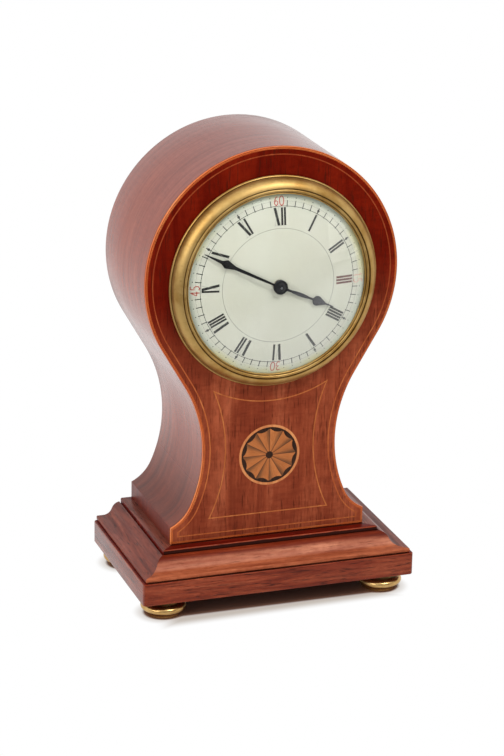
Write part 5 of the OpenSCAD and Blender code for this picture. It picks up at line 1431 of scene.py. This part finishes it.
def floorFinish(add, look):
    place = objectPlace(add)
    grit = noise(add, place, 300, 3)
    pale = ramp(add, grit, [(0.3, look["gritDark"]), (0.7, look["gritPale"])])
    part = xyz(add, place)

    def past(axis, distance):
        return maths(add, "SUBTRACT", maths(add, "ABSOLUTE", part[axis]), distance * mm)

    def between(value, ends, low=0.0):
        start, end = ends
        return remap(add, value, start * mm, end * mm, low, 1.0, True)

    outX, outY = past("X", plinth["halfX"] - look["endShade"]), past("Y", plinth["halfY"])
    fade = between(maths(add, "MAXIMUM", outX, outY), (look["shadeFrom"], look["shadeTo"]))
    fromFoot = hypotenuse(add, past("X", foot["x"]), past("Y", foot["y"]))
    fade = times(add, fade, between(fromFoot, look["footShade"]))
    lean = maths(add, "ADD", part["Y"], times(add, part["X"], look["dimLean"]))
    level = remap(add, lean, look["dimTo"], look["dimFrom"], look["roomFront"], 1.0, True)
    # the shade has a soft edge along the front and the back, wider towards the left
    leant = maths(add, "ADD", outY, times(add, part["X"], look["softLean"]))
    clear = between(leant, (look["shadeTo"], look["softTo"]))
    clear = maths(add, "MAXIMUM", clear, between(outX, look["softEnds"]))
    clear = maths(add, "MINIMUM", clear, between(fromFoot, look["softFoot"], look["softFootShare"]))
    glow = mixed(add, clear, look["softShade"], white)
    lit = add("ShaderNodeEmission", {"Color": glow, "Strength": whereSeen(add, level)}).outputs[0]
    # the table is darker where the plinth keeps the light off it
    return {
        "Base Color": mixed(add, fade, look["shade"], pale),
        "Roughness": look["dull"],
        "blend": (times(add, seenRays(add), fade), lit),
    }


floorHalf = studio["floor"]
floorMesh = bpy.data.meshes.new("studioFloor")
floorCorners = [(x * floorHalf, y * floorHalf, 0) for x, y in ((-1, -1), (1, -1), (1, 1), (-1, 1))]
floorMesh.from_pydata(floorCorners, [], [(0, 1, 2, 3)])
floorMesh.materials.append(makeMaterial("studioFloor", floorFinish, studio))
floor = bpy.data.objects.new("studioFloor", floorMesh)
scene.collection.objects.link(floor)
floor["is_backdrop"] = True

for label, lamp in lamps.items():
    data = bpy.data.lights.new(label, "AREA")
    data.shape = "ELLIPSE"
    data.size, data.size_y = lamp["size"]
    data.energy = lamp["power"]
    light = bpy.data.objects.new(label, data)
    light.location = lamp["place"]
    light.rotation_euler = (Vector(lamp["aim"]) - Vector(lamp["place"])).to_track_quat("-Z", "Y").to_euler()
    scene.collection.objects.link(light)

world = bpy.data.worlds.new("studioWorld")
scene.world = world
world.use_nodes = True
add = nodeAdder(world.node_tree)
plain = world.node_tree.nodes["Background"]
setSockets(plain, {"Color": white, "Strength": studio["ambient"]})
# polish and glass see a room that is white behind and above, and dimmer in front, less so to the right
towards = xyz(add, add("ShaderNodeTexCoord").outputs["Generated"])
room = remap(add, towards["Y"], *studio["behind"], studio["roomFront"], 1.0, True)
room = maths(add, "ADD", room, rise(add, towards["X"], *studio["toRight"], studio["roomRight"]))
room = maths(add, "MAXIMUM", room, rise(add, towards["Z"], *studio["above"]))
room = maths(add, "MINIMUM", room, 1.0)
lit = add("ShaderNodeBackground", {"Color": white, "Strength": whereSeen(add, room)}).outputs[0]
blendShaders(world.node_tree, "World Output", seenRays(add), plain.outputs[0], lit)

shot = {
    "place": (-451.36, -1267.30, 579.02), "azimuth": -19.54, "elevation": 19.151, "roll": 1.105,
    "lens": 128.63, "sensor": 36.0,
}
azimuth, elevation, roll = (math.radians(shot[key]) for key in ("azimuth", "elevation", "roll"))
backward = Vector((math.sin(azimuth) * math.cos(elevation), -math.cos(azimuth) * math.cos(elevation),
                   math.sin(elevation)))
across = Vector((math.cos(azimuth), math.sin(azimuth), 0))
upward = backward.cross(across)
rollAcross = across * math.cos(roll) + upward * math.sin(roll)
rollUp = upward * math.cos(roll) - across * math.sin(roll)
axes = Matrix((rollAcross, rollUp, backward)).transposed().to_4x4()
camera = bpy.data.objects.new("camera", bpy.data.cameras.new("camera"))
camera.data.lens = shot["lens"]
camera.data.sensor_fit = "VERTICAL"
camera.data.sensor_height = shot["sensor"]
camera.matrix_world = Matrix.Translation(Vector(shot["place"]) * mm) @ axes
scene.collection.objects.link(camera)
scene.camera = camera
print("studio made")

low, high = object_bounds()
